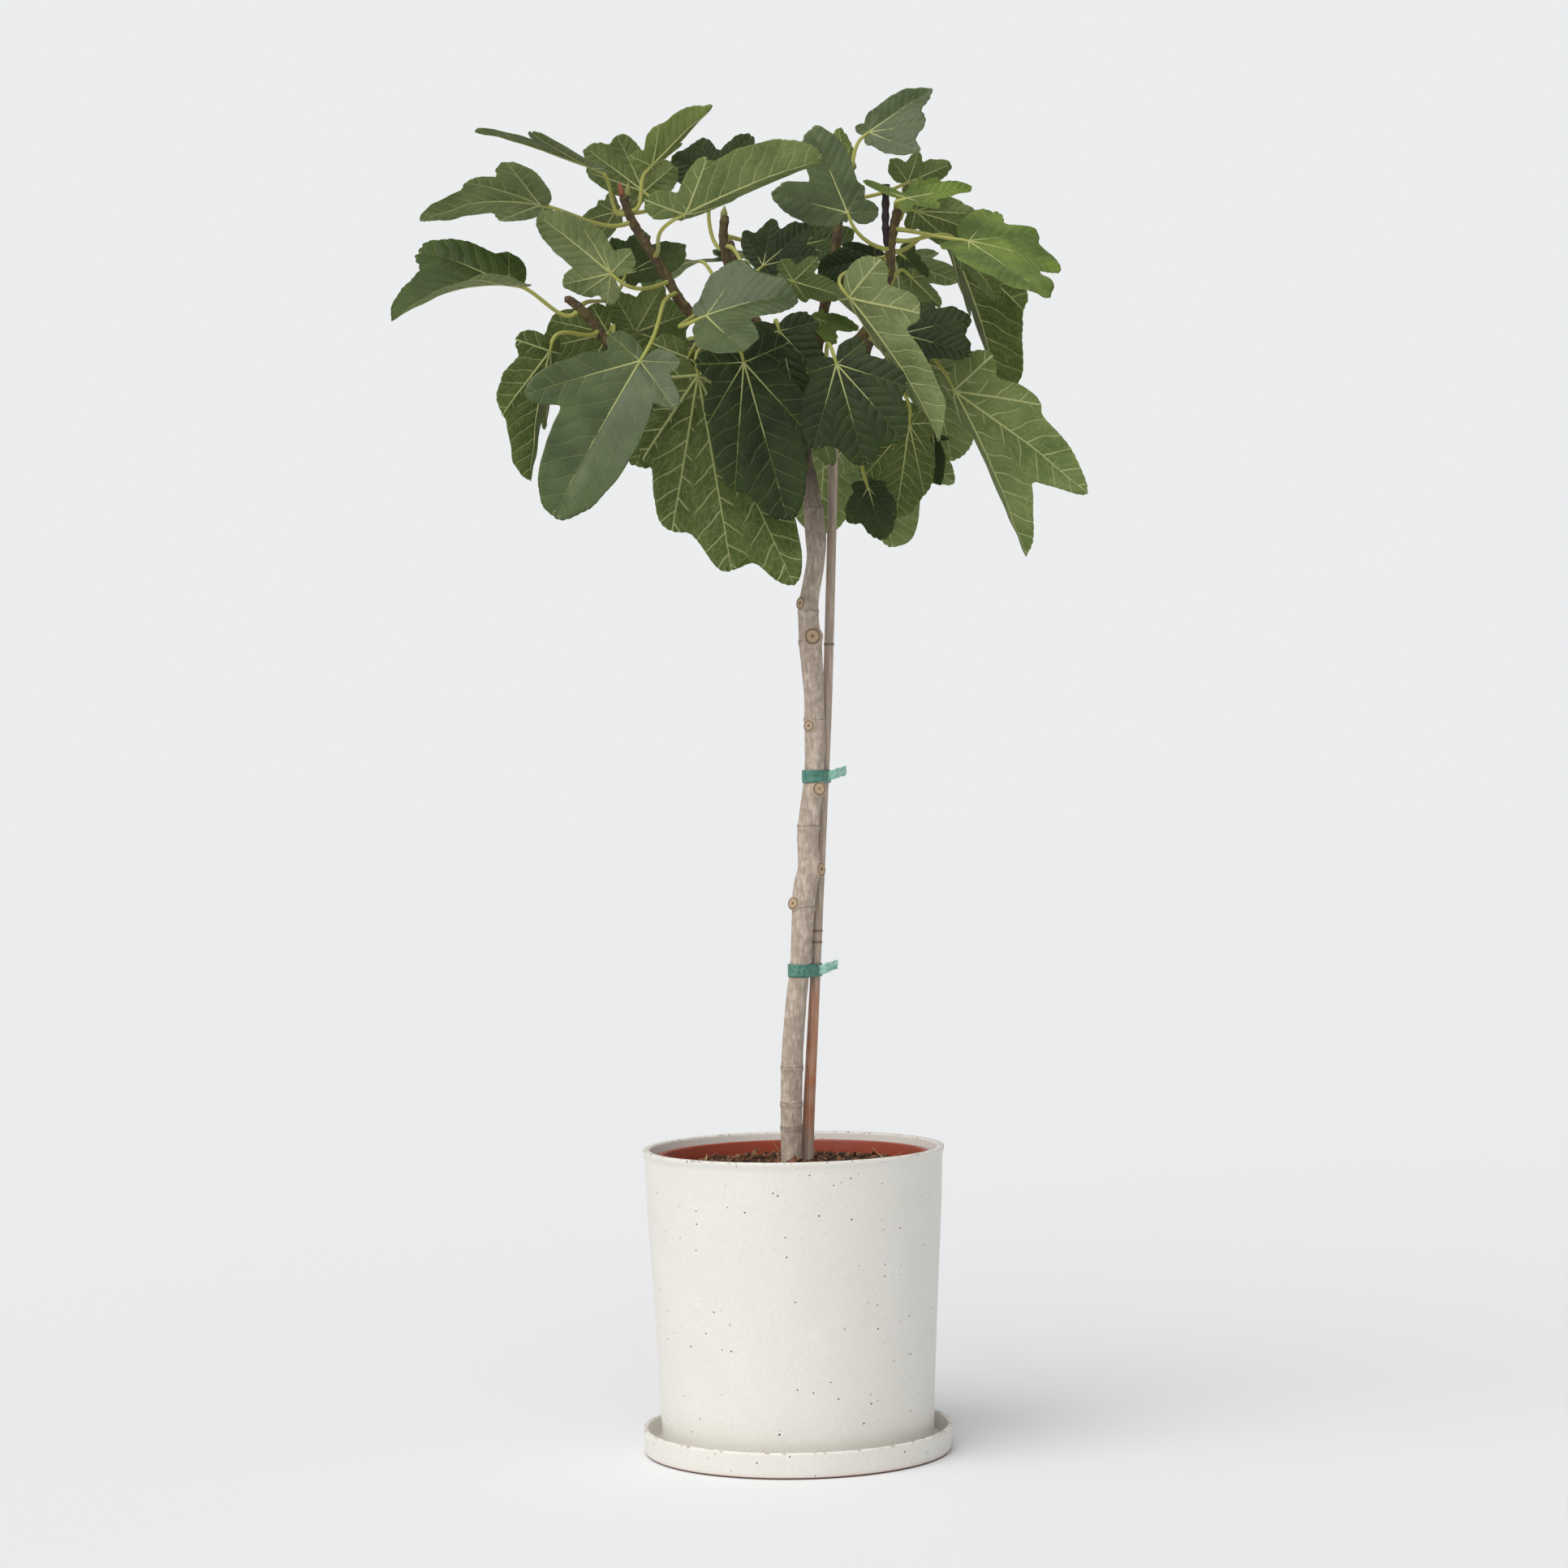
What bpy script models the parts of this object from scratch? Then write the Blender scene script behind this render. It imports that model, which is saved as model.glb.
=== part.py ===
"""A young fig tree in a nursery pot, in a glazed planter on its saucer. Metres, +Z up, front at -Y."""

import math
import random

import bmesh
import bpy
from mathutils import Vector

# Fit between pieces that touch
CLEARANCE = 0.0003

# Saucer
SAUCER_HEIGHT = 0.026
SAUCER_WALL = 0.0055
SAUCER_FLOOR = 0.008
SAUCER_GAP = 0.014
SAUCER_FLARE = 0.0026

# Planter
PLANTER_HEIGHT = 0.298
PLANTER_RIM_RADIUS = 0.1525
PLANTER_FOOT_RADIUS = 0.137
PLANTER_WALL = 0.0075
PLANTER_BASE = 0.010
PLANTER_LIP = 0.008
PLANTER_DRAIN_RADIUS = 0.012

# Nursery pot
NURSERY_RIM_DROP = 0.0075
NURSERY_RIM_GAP = 0.0055
NURSERY_FOOT_GAP = 0.017
NURSERY_WALL = 0.002
NURSERY_RIM_BAND = 0.004
NURSERY_DRAIN_RADIUS = 0.010

# Soil
SOIL_DROP = 0.0138
SOIL_LUMP = 0.003
ROOTED_DEPTH = 0.06
CANE_DEPTH = 0.10

# Stem, twigs and cane
TRUNK_RADIUS = 0.0105
TWIG_RADIUS = 0.0065
TWIG_TIP_RADIUS = 0.0048
CANE_RADIUS = 0.0055
CANE_SIDE = 0.010

# Ties
TAPE_WIDTH = 0.0125
TAPE_THICKNESS = 0.0005
TAPE_SLACK = 0.0014
TAPE_TAIL = 0.022

# Leaves
BLADE_THICKNESS = 0.0009
PETIOLE_RADIUS = 0.0022
PETIOLE_START = 0.0085
LOBE_SLIM = 2.0
BASE_LOBE_SLIM = 1.35

TURN = 2 * math.pi
POT_SEGMENTS = 48

# The stem's middle line, as x and height over the soil, and its girth as a share of TRUNK_RADIUS.
TRUNK_LINE = (
    (-0.002, 0.007, 1.02),
    (0.000, 0.100, 1.05),
    (0.005, 0.163, 1.02),
    (0.010, 0.204, 0.97),
    (0.016, 0.278, 1.14),
    (0.021, 0.302, 1.10),
    (0.020, 0.331, 1.05),
    (0.023, 0.360, 1.02),
    (0.028, 0.401, 0.98),
    (0.029, 0.466, 0.98),
    (0.028, 0.499, 1.02),
    (0.026, 0.532, 1.10),
    (0.025, 0.568, 0.95),
    (0.033, 0.614, 0.90),
    (0.033, 0.647, 1.02),
    (0.029, 0.688, 0.82),
    (0.023, 0.721, 0.74),
    (0.027, 0.762, 0.67),
    (0.032, 0.795, 0.62),
)

# The cane's middle line, as x and height over the soil.
CANE_LINE = (
    (0.014, 0.007),
    (0.026, 0.203),
    (0.036, 0.365),
    (0.043, 0.482),
    (0.053, 0.716),
    (0.056, 0.800),
)

# Each twig's middle line from the stem out, with heights over the soil.
TWIG_LINES = {
    "left": (
        (0.032, 0.000, 0.787),
        (-0.025, -0.020, 0.818),
        (-0.089, -0.030, 0.863),
        (-0.117, -0.030, 0.908),
        (-0.141, -0.030, 0.947),
        (-0.149, -0.030, 0.964),
        (-0.154, -0.030, 0.982),
    ),
    "lower_left": (
        (0.023, 0.000, 0.725),
        (-0.034, -0.020, 0.749),
        (-0.092, -0.040, 0.778),
        (-0.162, -0.060, 0.822),
        (-0.189, -0.070, 0.855),
        (-0.208, -0.075, 0.872),
    ),
    "middle": (
        (0.030, 0.000, 0.778),
        (-0.009, 0.015, 0.822),
        (-0.037, 0.020, 0.873),
        (-0.054, 0.020, 0.935),
        (-0.053, 0.020, 0.968),
    ),
    "right": (
        (0.032, 0.000, 0.774),
        (0.069, -0.010, 0.824),
        (0.090, -0.015, 0.847),
        (0.111, -0.020, 0.897),
        (0.114, -0.020, 0.930),
        (0.122, -0.020, 0.966),
    ),
    "top": (
        (0.032, 0.000, 0.790),
        (0.043, 0.030, 0.856),
        (0.060, 0.040, 0.940),
        (0.066, 0.040, 1.011),
    ),
    "rear_left": (
        (0.030, 0.000, 0.765),
        (0.000, 0.060, 0.825),
        (-0.035, 0.110, 0.895),
        (-0.050, 0.140, 0.960),
    ),
    "rear_right": (
        (0.030, 0.000, 0.755),
        (0.070, 0.060, 0.795),
        (0.100, 0.110, 0.865),
        (0.110, 0.140, 0.930),
    ),
}
# A dead twig, broken off, beside the right twig's tip.
DEAD_STUB = ((0.113, -0.020, 0.920), (0.109, -0.021, 0.942), (0.110, -0.021, 0.989))
DEAD_STUB_RADIUS = 0.0036

# Each leaf: name, twig, place along it, stalk end, tip, way its upper side faces, and how its blade is shaped.
# Heights are over the soil. Lobes are (degrees from the midrib, reach as a share of the middle lobe).
LEAVES = (
    ("far_left", "lower_left", 0.95, (-0.265, -0.090, 0.885), (-0.380, -0.120, 0.840), (0, -0.45, 0.9),
     dict(fold=38, droop=60, left=((45, 0.55), (105, 0.25)), right=((35, 0.8), (100, 0.4)))),
    ("left_high", "left", 0.90, (-0.235, -0.050, 0.970), (-0.355, -0.050, 0.955), (0, 0.27, 0.96),
     dict(fold=0, droop=50, left=((35, 0.7), (75, 0.75)), right=((45, 0.55), (100, 0.25)))),
    ("left_edge_on", "left", 1.00, (-0.185, -0.030, 1.010), (-0.300, -0.040, 1.050), (0.32, -0.08, 0.94),
     dict(fold=4, droop=10, left=((45, 0.75), (105, 0.4)), right=((45, 0.65), (105, 0.35)))),
    ("left_top_back", "left", 1.00, (-0.135, 0.030, 0.995), (-0.195, 0.030, 1.040), (0.1, 0.8, 0.6),
     dict(droop=20, left=((30, 0.85), (105, 0.6)), right=((20, 0.85), (80, 0.35)))),
    ("left_top", "left", 1.00, (-0.125, -0.035, 1.010), (-0.065, -0.050, 1.065), (-0.57, 0.57, 0.59),
     dict(fold=35, droop=10, left=((48, 0.6), (105, 0.35)), right=((35, 0.5), (105, 0.3)))),
    ("left_small", "left", 0.95, (-0.165, 0.030, 0.975), (-0.200, 0.050, 0.970), (0, 0.9, 0.3),
     dict(fold=10, droop=20, left=((40, 0.55), (85, 0.5)), right=((35, 1), (95, 0.35)))),
    ("left_pale", "left", 0.65, (-0.165, -0.085, 0.895), (-0.235, -0.100, 0.950), (0.2, 0.9, 0.4),
     dict(droop=25, left=((20, 0.6), (35, 0.35), (95, 0.35)),
          right=((55, 0.6), (75, 0.45), (120, 0.35)))),
    ("left_behind", "lower_left", 0.95, (-0.155, 0.020, 0.910), (-0.135, 0.030, 0.955), (0, -0.8, 0.6),
     dict(droop=25, left=((40, 0.8), (90, 0.35)), right=((45, 1.3), (60, 1.25), (120, 0.35)))),
    ("left_brown", "lower_left", 0.60, (-0.145, -0.020, 0.845), (-0.090, -0.010, 0.865), (0, 0.9, 0.3),
     dict(droop=20, left=((35, 0.8), (100, 0.45)), right=((40, 0.55), (100, 0.5)))),
    ("left_hanging", "lower_left", 0.80, (-0.170, -0.050, 0.840), (-0.210, -0.060, 0.785), (0.1, 0.95, 0.2),
     dict(droop=25, left=((50, 0.7), (70, 0.6), (120, 0.35)), right=((30, 0.5), (90, 0.35)))),
    ("low_left", "lower_left", 0.85, (-0.225, -0.120, 0.815), (-0.250, -0.130, 0.685), (-0.81, 0.57, 0.14),
     dict(fold=35, droop=20, left=((30, 0.55), (90, 0.3)), right=((48, 0.6), (95, 0.25)))),
    ("low_front", "left", 0.60, (-0.135, -0.150, 0.800), (-0.240, -0.165, 0.660), (0.15, -0.95, 0.35),
     dict(droop=30, left=((25, 0.9), (55, 0.2), (115, 0.35)),
          right=((25, 0.65), (45, 0.35), (105, 0.35)))),
    ("low_back", "left", 0.40, (-0.090, -0.085, 0.810), (-0.145, -0.080, 0.705), (0.1, 0.99, 0),
     dict(droop=25, left=((25, 0.75), (85, 0.35)), right=((20, 0.8), (80, 0.35)))),
    ("low_centre", "left", 0.35, (-0.080, -0.110, 0.790), (-0.050, -0.115, 0.595), (0, 0.95, 0.2),
     dict(droop=25, left=((25, 0.75), (35, 0.6), (95, 0.35)),
          right=((15, 1.15), (60, 0.2), (110, 0.25)))),
    ("low_dark", "middle", 0.55, (-0.035, -0.125, 0.800), (0.005, -0.130, 0.645), (0, -1, 0.1),
     dict(droop=20, left=((15, 0.7), (35, 0.5), (95, 0.35)), right=((15, 0.8), (40, 0.4), (100, 0.35)))),
    ("centre_grey", "left", 0.50, (-0.070, -0.170, 0.840), (0.020, -0.175, 0.855), (0, -0.75, 0.65),
     dict(droop=25, left=((55, 0.8), (95, 0.45)), right=((40, 0.55), (80, 1.15), (105, 0.65)))),
    ("centre_pale", "left", 0.75, (-0.090, -0.130, 0.945), (0.045, -0.130, 1.000), (-0.32, 0.57, 0.75),
     dict(fold=35, droop=15, left=((40, 0.45), (100, 0.1)), right=((45, 0.4), (130, 0.3)))),
    ("top_dark", "middle", 1.00, (-0.060, 0.040, 1.005), (-0.025, 0.050, 1.055), (0, -0.7, 0.5),
     dict(droop=20, left=((55, 0.85), (90, 0.9)), right=((48, 0.6), (105, 0.35)))),
    ("top_right_front", "right", 0.80, (0.070, -0.060, 0.955), (0.035, -0.060, 1.040), (-0.1, -0.85, 0.5),
     dict(droop=20, left=((55, 0.85), (80, 0.4)), right=((50, 0.35), (110, 0.35)))),
    ("top_young", "top", 0.80, (0.070, 0.050, 1.020), (0.065, 0.050, 1.060), (0, 0.9, 0.3),
     dict(fold=25, left=((25, 0.65), (85, 0.35)), right=((30, 0.8), (90, 0.35)))),
    ("top_right_tip", "top", 0.95, (0.095, 0.020, 1.050), (0.165, 0.020, 1.090), (0.1, -0.9, 0.4),
     dict(droop=20, fold=15, slim=2.2, left=((40, 0.55), (75, 0.3), (120, 0.35)),
          right=((40, 0.55), (70, 0.85), (120, 0.35)))),
    ("top_right_back", "top", 0.90, (0.135, 0.060, 1.005), (0.180, 0.070, 1.025), (0, 0.95, 0.3),
     dict(droop=20, left=((40, 0.6), (95, 0.5)), right=((45, 0.65), (105, 0.6)))),
    ("right_small", "right", 1.00, (0.140, -0.015, 0.980), (0.165, -0.020, 0.995), (0, -0.8, 0.6),
     dict(slim=2, left=((50, 0.7), (110, 0.35)), right=((48, 0.6), (105, 0.35)))),
    ("right_edge_on", "right", 1.00, (0.130, -0.050, 0.970), (0.195, -0.055, 0.980), (0, -0.8, 0.6),
     dict(fold=3, droop=15, slim=3, left=((60, 0.4), (135, 0.9, 6)), right=((35, 0.6), (100, 0.3)))),
    ("right_under", "right", 0.95, (0.140, -0.005, 0.965), (0.200, 0.000, 0.945), (0, 0.9, 0.4),
     dict(droop=20, left=((25, 0.8), (85, 0.35)), right=((15, 0.9), (35, 0.5), (95, 0.35)))),
    ("far_right", "right", 0.90, (0.190, -0.060, 0.925), (0.280, -0.080, 0.890), (0.1, -0.6, 0.8),
     dict(droop=25, left=((35, 0.75), (85, 0.6)), right=((40, 1.35), (70, 0.65), (120, 0.35)))),
    ("far_right_lobe", "right", 0.85, (0.185, -0.020, 0.925), (0.220, -0.030, 0.870), (0.5, 0.8, 0.2),
     dict(fold=20, slim=2.4, left=((50, 0.4), (105, 0.2)), right=((50, 0.4), (105, 0.2)))),
    ("right_hanging", "right", 0.80, (0.180, 0.050, 0.940), (0.225, 0.055, 0.780), (0.79, 0.57, 0.23),
     dict(fold=35, droop=20, left=((48, 0.6), (105, 0.35)), right=((30, 0.6), (90, 0.35)))),
    ("low_right", "right", 0.50, (0.175, -0.035, 0.780), (0.240, -0.045, 0.610), (0.76, 0.57, 0.31),
     dict(fold=35, droop=20, left=((48, 0.6), (105, 0.35)), right=((30, 0.85), (75, 0.35), (120, 0.35)))),
    ("right_pale", "right", 0.70, (0.070, -0.100, 0.865), (0.160, -0.130, 0.720), (0.68, 0.57, 0.46),
     dict(fold=35, droop=20, left=((48, 0.6), (105, 0.35)), right=((30, 0.45), (90, 0.35)))),
    ("right_pale_high", "middle", 0.50, (0.015, -0.045, 0.890), (0.065, -0.040, 0.875), (0, 0.9, 0.4),
     dict(left=((40, 0.5), (100, 0.35)), right=((60, 0.65), (135, 0.5)))),
    ("right_grey", "right", 0.60, (0.120, -0.050, 0.835), (0.190, -0.070, 0.810), (0, -0.9, 0.4),
     dict(droop=20, left=((30, 0.95), (65, 0.6)), right=((40, 0.65), (100, 0.35)))),
    ("inner_dark", "right", 0.80, (0.100, 0.010, 0.920), (0.040, 0.020, 0.910), (0, -0.9, 0.1),
     dict(droop=20, left=((35, 0.9), (90, 0.25)), right=((30, 0.6), (85, 0.25)))),
    ("low_right_dark", "right", 0.15, (0.055, -0.140, 0.795), (0.080, -0.150, 0.695), (0, -0.95, 0.3),
     dict(droop=25, left=((25, 0.95), (55, 0.7), (115, 0.35)), right=((30, 0.85), (85, 0.3)))),
    ("low_right_small", "right", 0.00, (0.040, -0.040, 0.740), (0.050, -0.040, 0.705), (0, 0.95, 0.1),
     dict(left=((30, 0.7), (90, 0.35)), right=((50, 0.8), (110, 0.35)))),
    ("low_right_under", "right", 0.30, (0.130, 0.000, 0.750), (0.115, 0.000, 0.655), (0.2, 0.95, 0.1),
     dict(droop=20, left=((35, 0.75), (95, 0.35)), right=((20, 0.7), (40, 0.4), (100, 0.35)))),
    ("low_right_curled", "right", 0.25, (0.085, -0.080, 0.680), (0.100, -0.080, 0.630), (0, -0.9, 0.3),
     dict(left=((20, 0.85), (80, 0.35)), right=((50, 0.6), (110, 0.35)))),
    ("low_right_back", "right", 0.40, (0.155, 0.030, 0.740), (0.160, 0.030, 0.690), (0, -0.9, 0.3),
     dict(slim=3, left=((15, 0.6), (75, 0.35)), right=((48, 0.6), (105, 0.35)))),
    ("inner_left", "middle", 0.85, (-0.015, -0.020, 0.910), (0.035, -0.020, 0.950), (0, -0.8, 0.5),
     dict(droop=20, left=((40, 0.75), (80, 0.65)), right=((35, 0.9), (95, 0.35)))),
    ("inner_right", "middle", 0.90, (0.025, 0.075, 0.945), (0.080, 0.075, 0.955), (0, -0.8, 0.5),
     dict(droop=20, left=((30, 0.85), (90, 0.35)), right=((40, 1), (100, 0.35)))),
    ("inner_bright", "middle", 0.40, (0.040, 0.020, 0.860), (0.080, 0.020, 0.850), (0, -0.8, 0.5),
     dict(left=((20, 0.6), (80, 0.35)), right=((55, 0.9), (115, 0.35)))),
    ("inner_hanging", "left", 0.20, (0.000, -0.050, 0.840), (0.020, -0.050, 0.765), (0, -0.9, 0.2),
     dict(droop=20, left=((30, 0.6), (90, 0.35)), right=((25, 0.45), (85, 0.35)))),
    ("right_inner", "right", 0.65, (0.130, 0.040, 0.925), (0.155, 0.040, 0.905), (0, -0.8, 0.5),
     dict(droop=20, left=((40, 0.55), (105, 0.65)), right=((55, 0.9), (115, 0.35)))),
    ("right_thin", "right", 0.60, (0.135, 0.010, 0.900), (0.165, 0.010, 0.870), (0, 0.9, 0.3),
     dict(fold=25, slim=2.5, left=((50, 0.35), (105, 0.2)), right=((50, 0.35), (105, 0.2)))),
    ("rear_high_left", "rear_left", 1.00, (-0.085, 0.170, 0.945), (-0.140, 0.270, 0.930), (-0.2, 0.3, 0.9),
     dict(droop=40, left=((48, 0.7), (105, 0.4)), right=((48, 0.7), (105, 0.4)))),
    ("rear_mid_left", "rear_left", 0.45, (-0.100, 0.115, 0.850), (-0.140, 0.235, 0.765), (-0.3, 0.5, 0.8),
     dict(droop=35, left=((48, 0.7), (105, 0.4)), right=((48, 0.7), (105, 0.4)))),
    ("rear_top", "rear_left", 0.90, (-0.020, 0.180, 0.955), (0.010, 0.290, 0.930), (0.1, 0.4, 0.9),
     dict(droop=45, left=((48, 0.7), (105, 0.4)), right=((48, 0.7), (105, 0.4)))),
    ("rear_low_left", "rear_left", 0.55, (-0.050, 0.120, 0.810), (-0.090, 0.200, 0.680), (-0.3, 0.8, 0.4),
     dict(droop=25, left=((48, 0.7), (105, 0.4)), right=((48, 0.7), (105, 0.4)))),
    ("rear_high_right", "rear_right", 1.00, (0.125, 0.185, 0.945), (0.135, 0.285, 0.880), (0.1, 0.4, 0.9),
     dict(droop=45, left=((48, 0.7), (105, 0.4)), right=((48, 0.7), (105, 0.4)))),
    ("rear_mid_right", "rear_right", 0.75, (0.150, 0.125, 0.830), (0.185, 0.225, 0.735), (0.4, 0.6, 0.6),
     dict(droop=30, left=((48, 0.7), (105, 0.4)), right=((48, 0.7), (105, 0.4)))),
    ("rear_low", "rear_right", 0.50, (0.050, 0.110, 0.790), (0.040, 0.215, 0.655), (0, 0.85, 0.5),
     dict(droop=30, left=((48, 0.7), (105, 0.4)), right=((48, 0.7), (105, 0.4)))),
    ("rear_low_right", "rear_right", 0.35, (0.095, 0.075, 0.760), (0.115, 0.150, 0.635), (0.5, 0.8, 0.3),
     dict(droop=25, left=((48, 0.7), (105, 0.4)), right=((48, 0.7), (105, 0.4)))),
)


def clear_scene():
    for obj in list(bpy.data.objects):
        bpy.data.objects.remove(obj)


def finish_material(name, colour, roughness):
    material = bpy.data.materials.new(name)
    material.use_nodes = True
    shader = material.node_tree.nodes["Principled BSDF"]
    shader.inputs["Base Color"].default_value = (*colour, 1)
    shader.inputs["Roughness"].default_value = roughness
    return material


def solid(name, points, faces, material, smooth=True):
    mesh = bpy.data.meshes.new(name)
    mesh.from_pydata([tuple(point) for point in points], [], faces)
    work = bmesh.new()
    work.from_mesh(mesh)
    bmesh.ops.recalc_face_normals(work, faces=work.faces)
    if work.calc_volume(signed=True) < 0:
        # A thin, bent shape can come out of that inside out.
        bmesh.ops.reverse_faces(work, faces=work.faces)
    work.to_mesh(mesh)
    work.free()
    mesh.polygons.foreach_set("use_smooth", [smooth] * len(mesh.polygons))
    mesh.materials.append(material)
    obj = bpy.data.objects.new(name, mesh)
    bpy.context.scene.collection.objects.link(obj)
    return obj


def turned(name, profile, material):
    """A solid of revolution round Z from a closed outline of (radius, height) pairs."""
    points = []
    faces = []
    count = len(profile)
    for step in range(POT_SEGMENTS):
        angle = TURN * step / POT_SEGMENTS
        following = (step + 1) % POT_SEGMENTS
        for index, (radius, height) in enumerate(profile):
            points.append((radius * math.cos(angle), radius * math.sin(angle), height))
            after = (index + 1) % count
            here, over = step * count, following * count
            faces.append((here + index, over + index, over + after, here + after))
    return solid(name, points, faces, material)


def capped_turned(name, profile, material):
    """A solid of revolution from an open outline, closed at both ends by a flat disc."""
    points = []
    faces = []
    count = len(profile)
    for step in range(POT_SEGMENTS):
        angle = TURN * step / POT_SEGMENTS
        following = (step + 1) % POT_SEGMENTS
        for radius, height in profile:
            points.append((radius * math.cos(angle), radius * math.sin(angle), height))
        for index in range(count - 1):
            corner = step * count + index
            over = following * count + index
            faces.append((corner, over, over + 1, corner + 1))
    for index in (0, count - 1):
        points.append((0, 0, profile[index][1]))
        for step in range(POT_SEGMENTS):
            following = (step + 1) % POT_SEGMENTS
            faces.append((step * count + index, following * count + index, len(points) - 1))
    return solid(name, points, faces, material)


def line_frames(points):
    """Direction, side and up at each point of a line, turned as little as possible from one to the next."""
    frames = []
    side = None
    for index, point in enumerate(points):
        before = points[max(index - 1, 0)]
        after = points[min(index + 1, len(points) - 1)]
        along = (after - before).normalized()
        if side is None:
            side = along.orthogonal()
        side = (side - along * side.dot(along)).normalized()
        frames.append((along, side, along.cross(side)))
    return frames


def tube(name, points, radii, sides, material):
    points = [Vector(point) for point in points]
    rings = []
    for point, radius, (_, side, up) in zip(points, radii, line_frames(points)):
        for step in range(sides):
            angle = TURN * step / sides
            rings.append(point + (side * math.cos(angle) + up * math.sin(angle)) * radius)
    faces = [tuple(range(sides)), tuple(range(len(rings) - sides, len(rings)))]
    for start in range(0, len(rings) - sides, sides):
        for step in range(sides):
            over = (step + 1) % sides
            faces.append((start + step, start + over, start + sides + over, start + sides + step))
    return solid(name, rings, faces, material)


def helper(obj):
    obj.hide_render = True
    obj.display_type = "WIRE"
    return obj


def combine(obj, other, operation):
    modifier = obj.modifiers.new(other.name, "BOOLEAN")
    modifier.operation = operation
    modifier.object = helper(other)


# Heights where the pieces stand
planter_foot = SAUCER_FLOOR + CLEARANCE
planter_top = planter_foot + PLANTER_HEIGHT
nursery_foot = planter_foot + PLANTER_BASE + CLEARANCE
nursery_top = planter_top - NURSERY_RIM_DROP
soil_foot = nursery_foot + NURSERY_WALL + CLEARANCE
soil_top = nursery_top - SOIL_DROP


def planter_radius(height):
    """Outer radius of the planter's wall, which swells a little on its way up."""
    share = (height - planter_foot) / PLANTER_HEIGHT
    return PLANTER_FOOT_RADIUS + (PLANTER_RIM_RADIUS - PLANTER_FOOT_RADIUS) * max(share, 0) ** 1.2


def nursery_radius(height):
    """Outer radius of the nursery pot's straight wall, under its rim band."""
    foot = planter_radius(nursery_foot) - PLANTER_WALL - NURSERY_FOOT_GAP
    rim = planter_radius(nursery_top) - PLANTER_WALL - NURSERY_RIM_GAP - NURSERY_RIM_BAND
    return foot + (rim - foot) * (height - nursery_foot) / (nursery_top - nursery_foot)


def make_saucer():
    rim = planter_radius(SAUCER_HEIGHT) + SAUCER_GAP + SAUCER_WALL
    foot = rim - SAUCER_FLARE
    inner = rim - SAUCER_WALL
    edge = SAUCER_WALL / 3
    floor_round = SAUCER_FLOOR * 1.5
    profile = (
        (foot - edge, 0),
        (foot, edge),
        (rim, SAUCER_HEIGHT - edge),
        (rim - edge, SAUCER_HEIGHT),
        (inner + edge, SAUCER_HEIGHT),
        (inner, SAUCER_HEIGHT - edge),
        (inner - SAUCER_FLARE, floor_round),
        (inner - SAUCER_FLARE - edge, SAUCER_FLOOR),
    )
    capped_turned("saucer", profile, finish_material("saucer_glaze", (0.74, 0.72, 0.67), 0.45))


def make_planter():
    edge = PLANTER_WALL / 3
    lip_foot = planter_top - PLANTER_LIP
    inner_floor = planter_foot + PLANTER_BASE
    heights = [planter_foot + PLANTER_HEIGHT * share for share in (0.33, 0.66)]
    outside = [(planter_radius(height), height) for height in heights]
    inside = [(radius - PLANTER_WALL, height) for radius, height in reversed(outside)]
    profile = [
        (PLANTER_DRAIN_RADIUS, planter_foot),
        (PLANTER_FOOT_RADIUS - edge, planter_foot),
        (PLANTER_FOOT_RADIUS, planter_foot + edge),
        *outside,
        (planter_radius(lip_foot) - edge / 2, lip_foot),
        (PLANTER_RIM_RADIUS, lip_foot + edge),
        (PLANTER_RIM_RADIUS - edge / 2, planter_top - edge / 2),
        (PLANTER_RIM_RADIUS - edge, planter_top),
        (PLANTER_RIM_RADIUS - PLANTER_WALL + edge, planter_top),
        (PLANTER_RIM_RADIUS - PLANTER_WALL, planter_top - edge),
        *inside,
        (planter_radius(inner_floor) - PLANTER_WALL, inner_floor),
        (PLANTER_DRAIN_RADIUS, inner_floor),
    ]
    turned("planter", profile, finish_material("planter_glaze", (0.74, 0.72, 0.67), 0.5))


def make_nursery_pot():
    band = NURSERY_RIM_BAND
    band_foot = nursery_top - 2.5 * band
    rim = nursery_radius(nursery_top) + band
    inner_floor = nursery_foot + NURSERY_WALL
    profile = (
        (NURSERY_DRAIN_RADIUS, nursery_foot),
        (nursery_radius(nursery_foot), nursery_foot),
        (nursery_radius(band_foot), band_foot),
        (rim, band_foot + band / 2),
        (rim, nursery_top - band / 4),
        (rim - band / 4, nursery_top),
        (nursery_radius(nursery_top) - NURSERY_WALL, nursery_top),
        (nursery_radius(inner_floor) - NURSERY_WALL, inner_floor),
        (NURSERY_DRAIN_RADIUS, inner_floor),
    )
    turned("nursery_pot", profile, finish_material("nursery_plastic", (0.43, 0.07, 0.03), 0.35))


def soil_lift(x, y):
    """How far the soil stands over its level, in soft lumps that fade out at the pot's wall."""
    edge = nursery_radius(soil_top) - NURSERY_WALL
    fade = 1 - min(math.hypot(x, y) / edge, 1) ** 4
    lumps = math.sin(61 * x + 1.3) * math.cos(53 * y + 0.4) + 0.6 * math.sin(117 * x - 83 * y)
    return SOIL_LUMP * fade * (lumps + 0.5)


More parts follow.
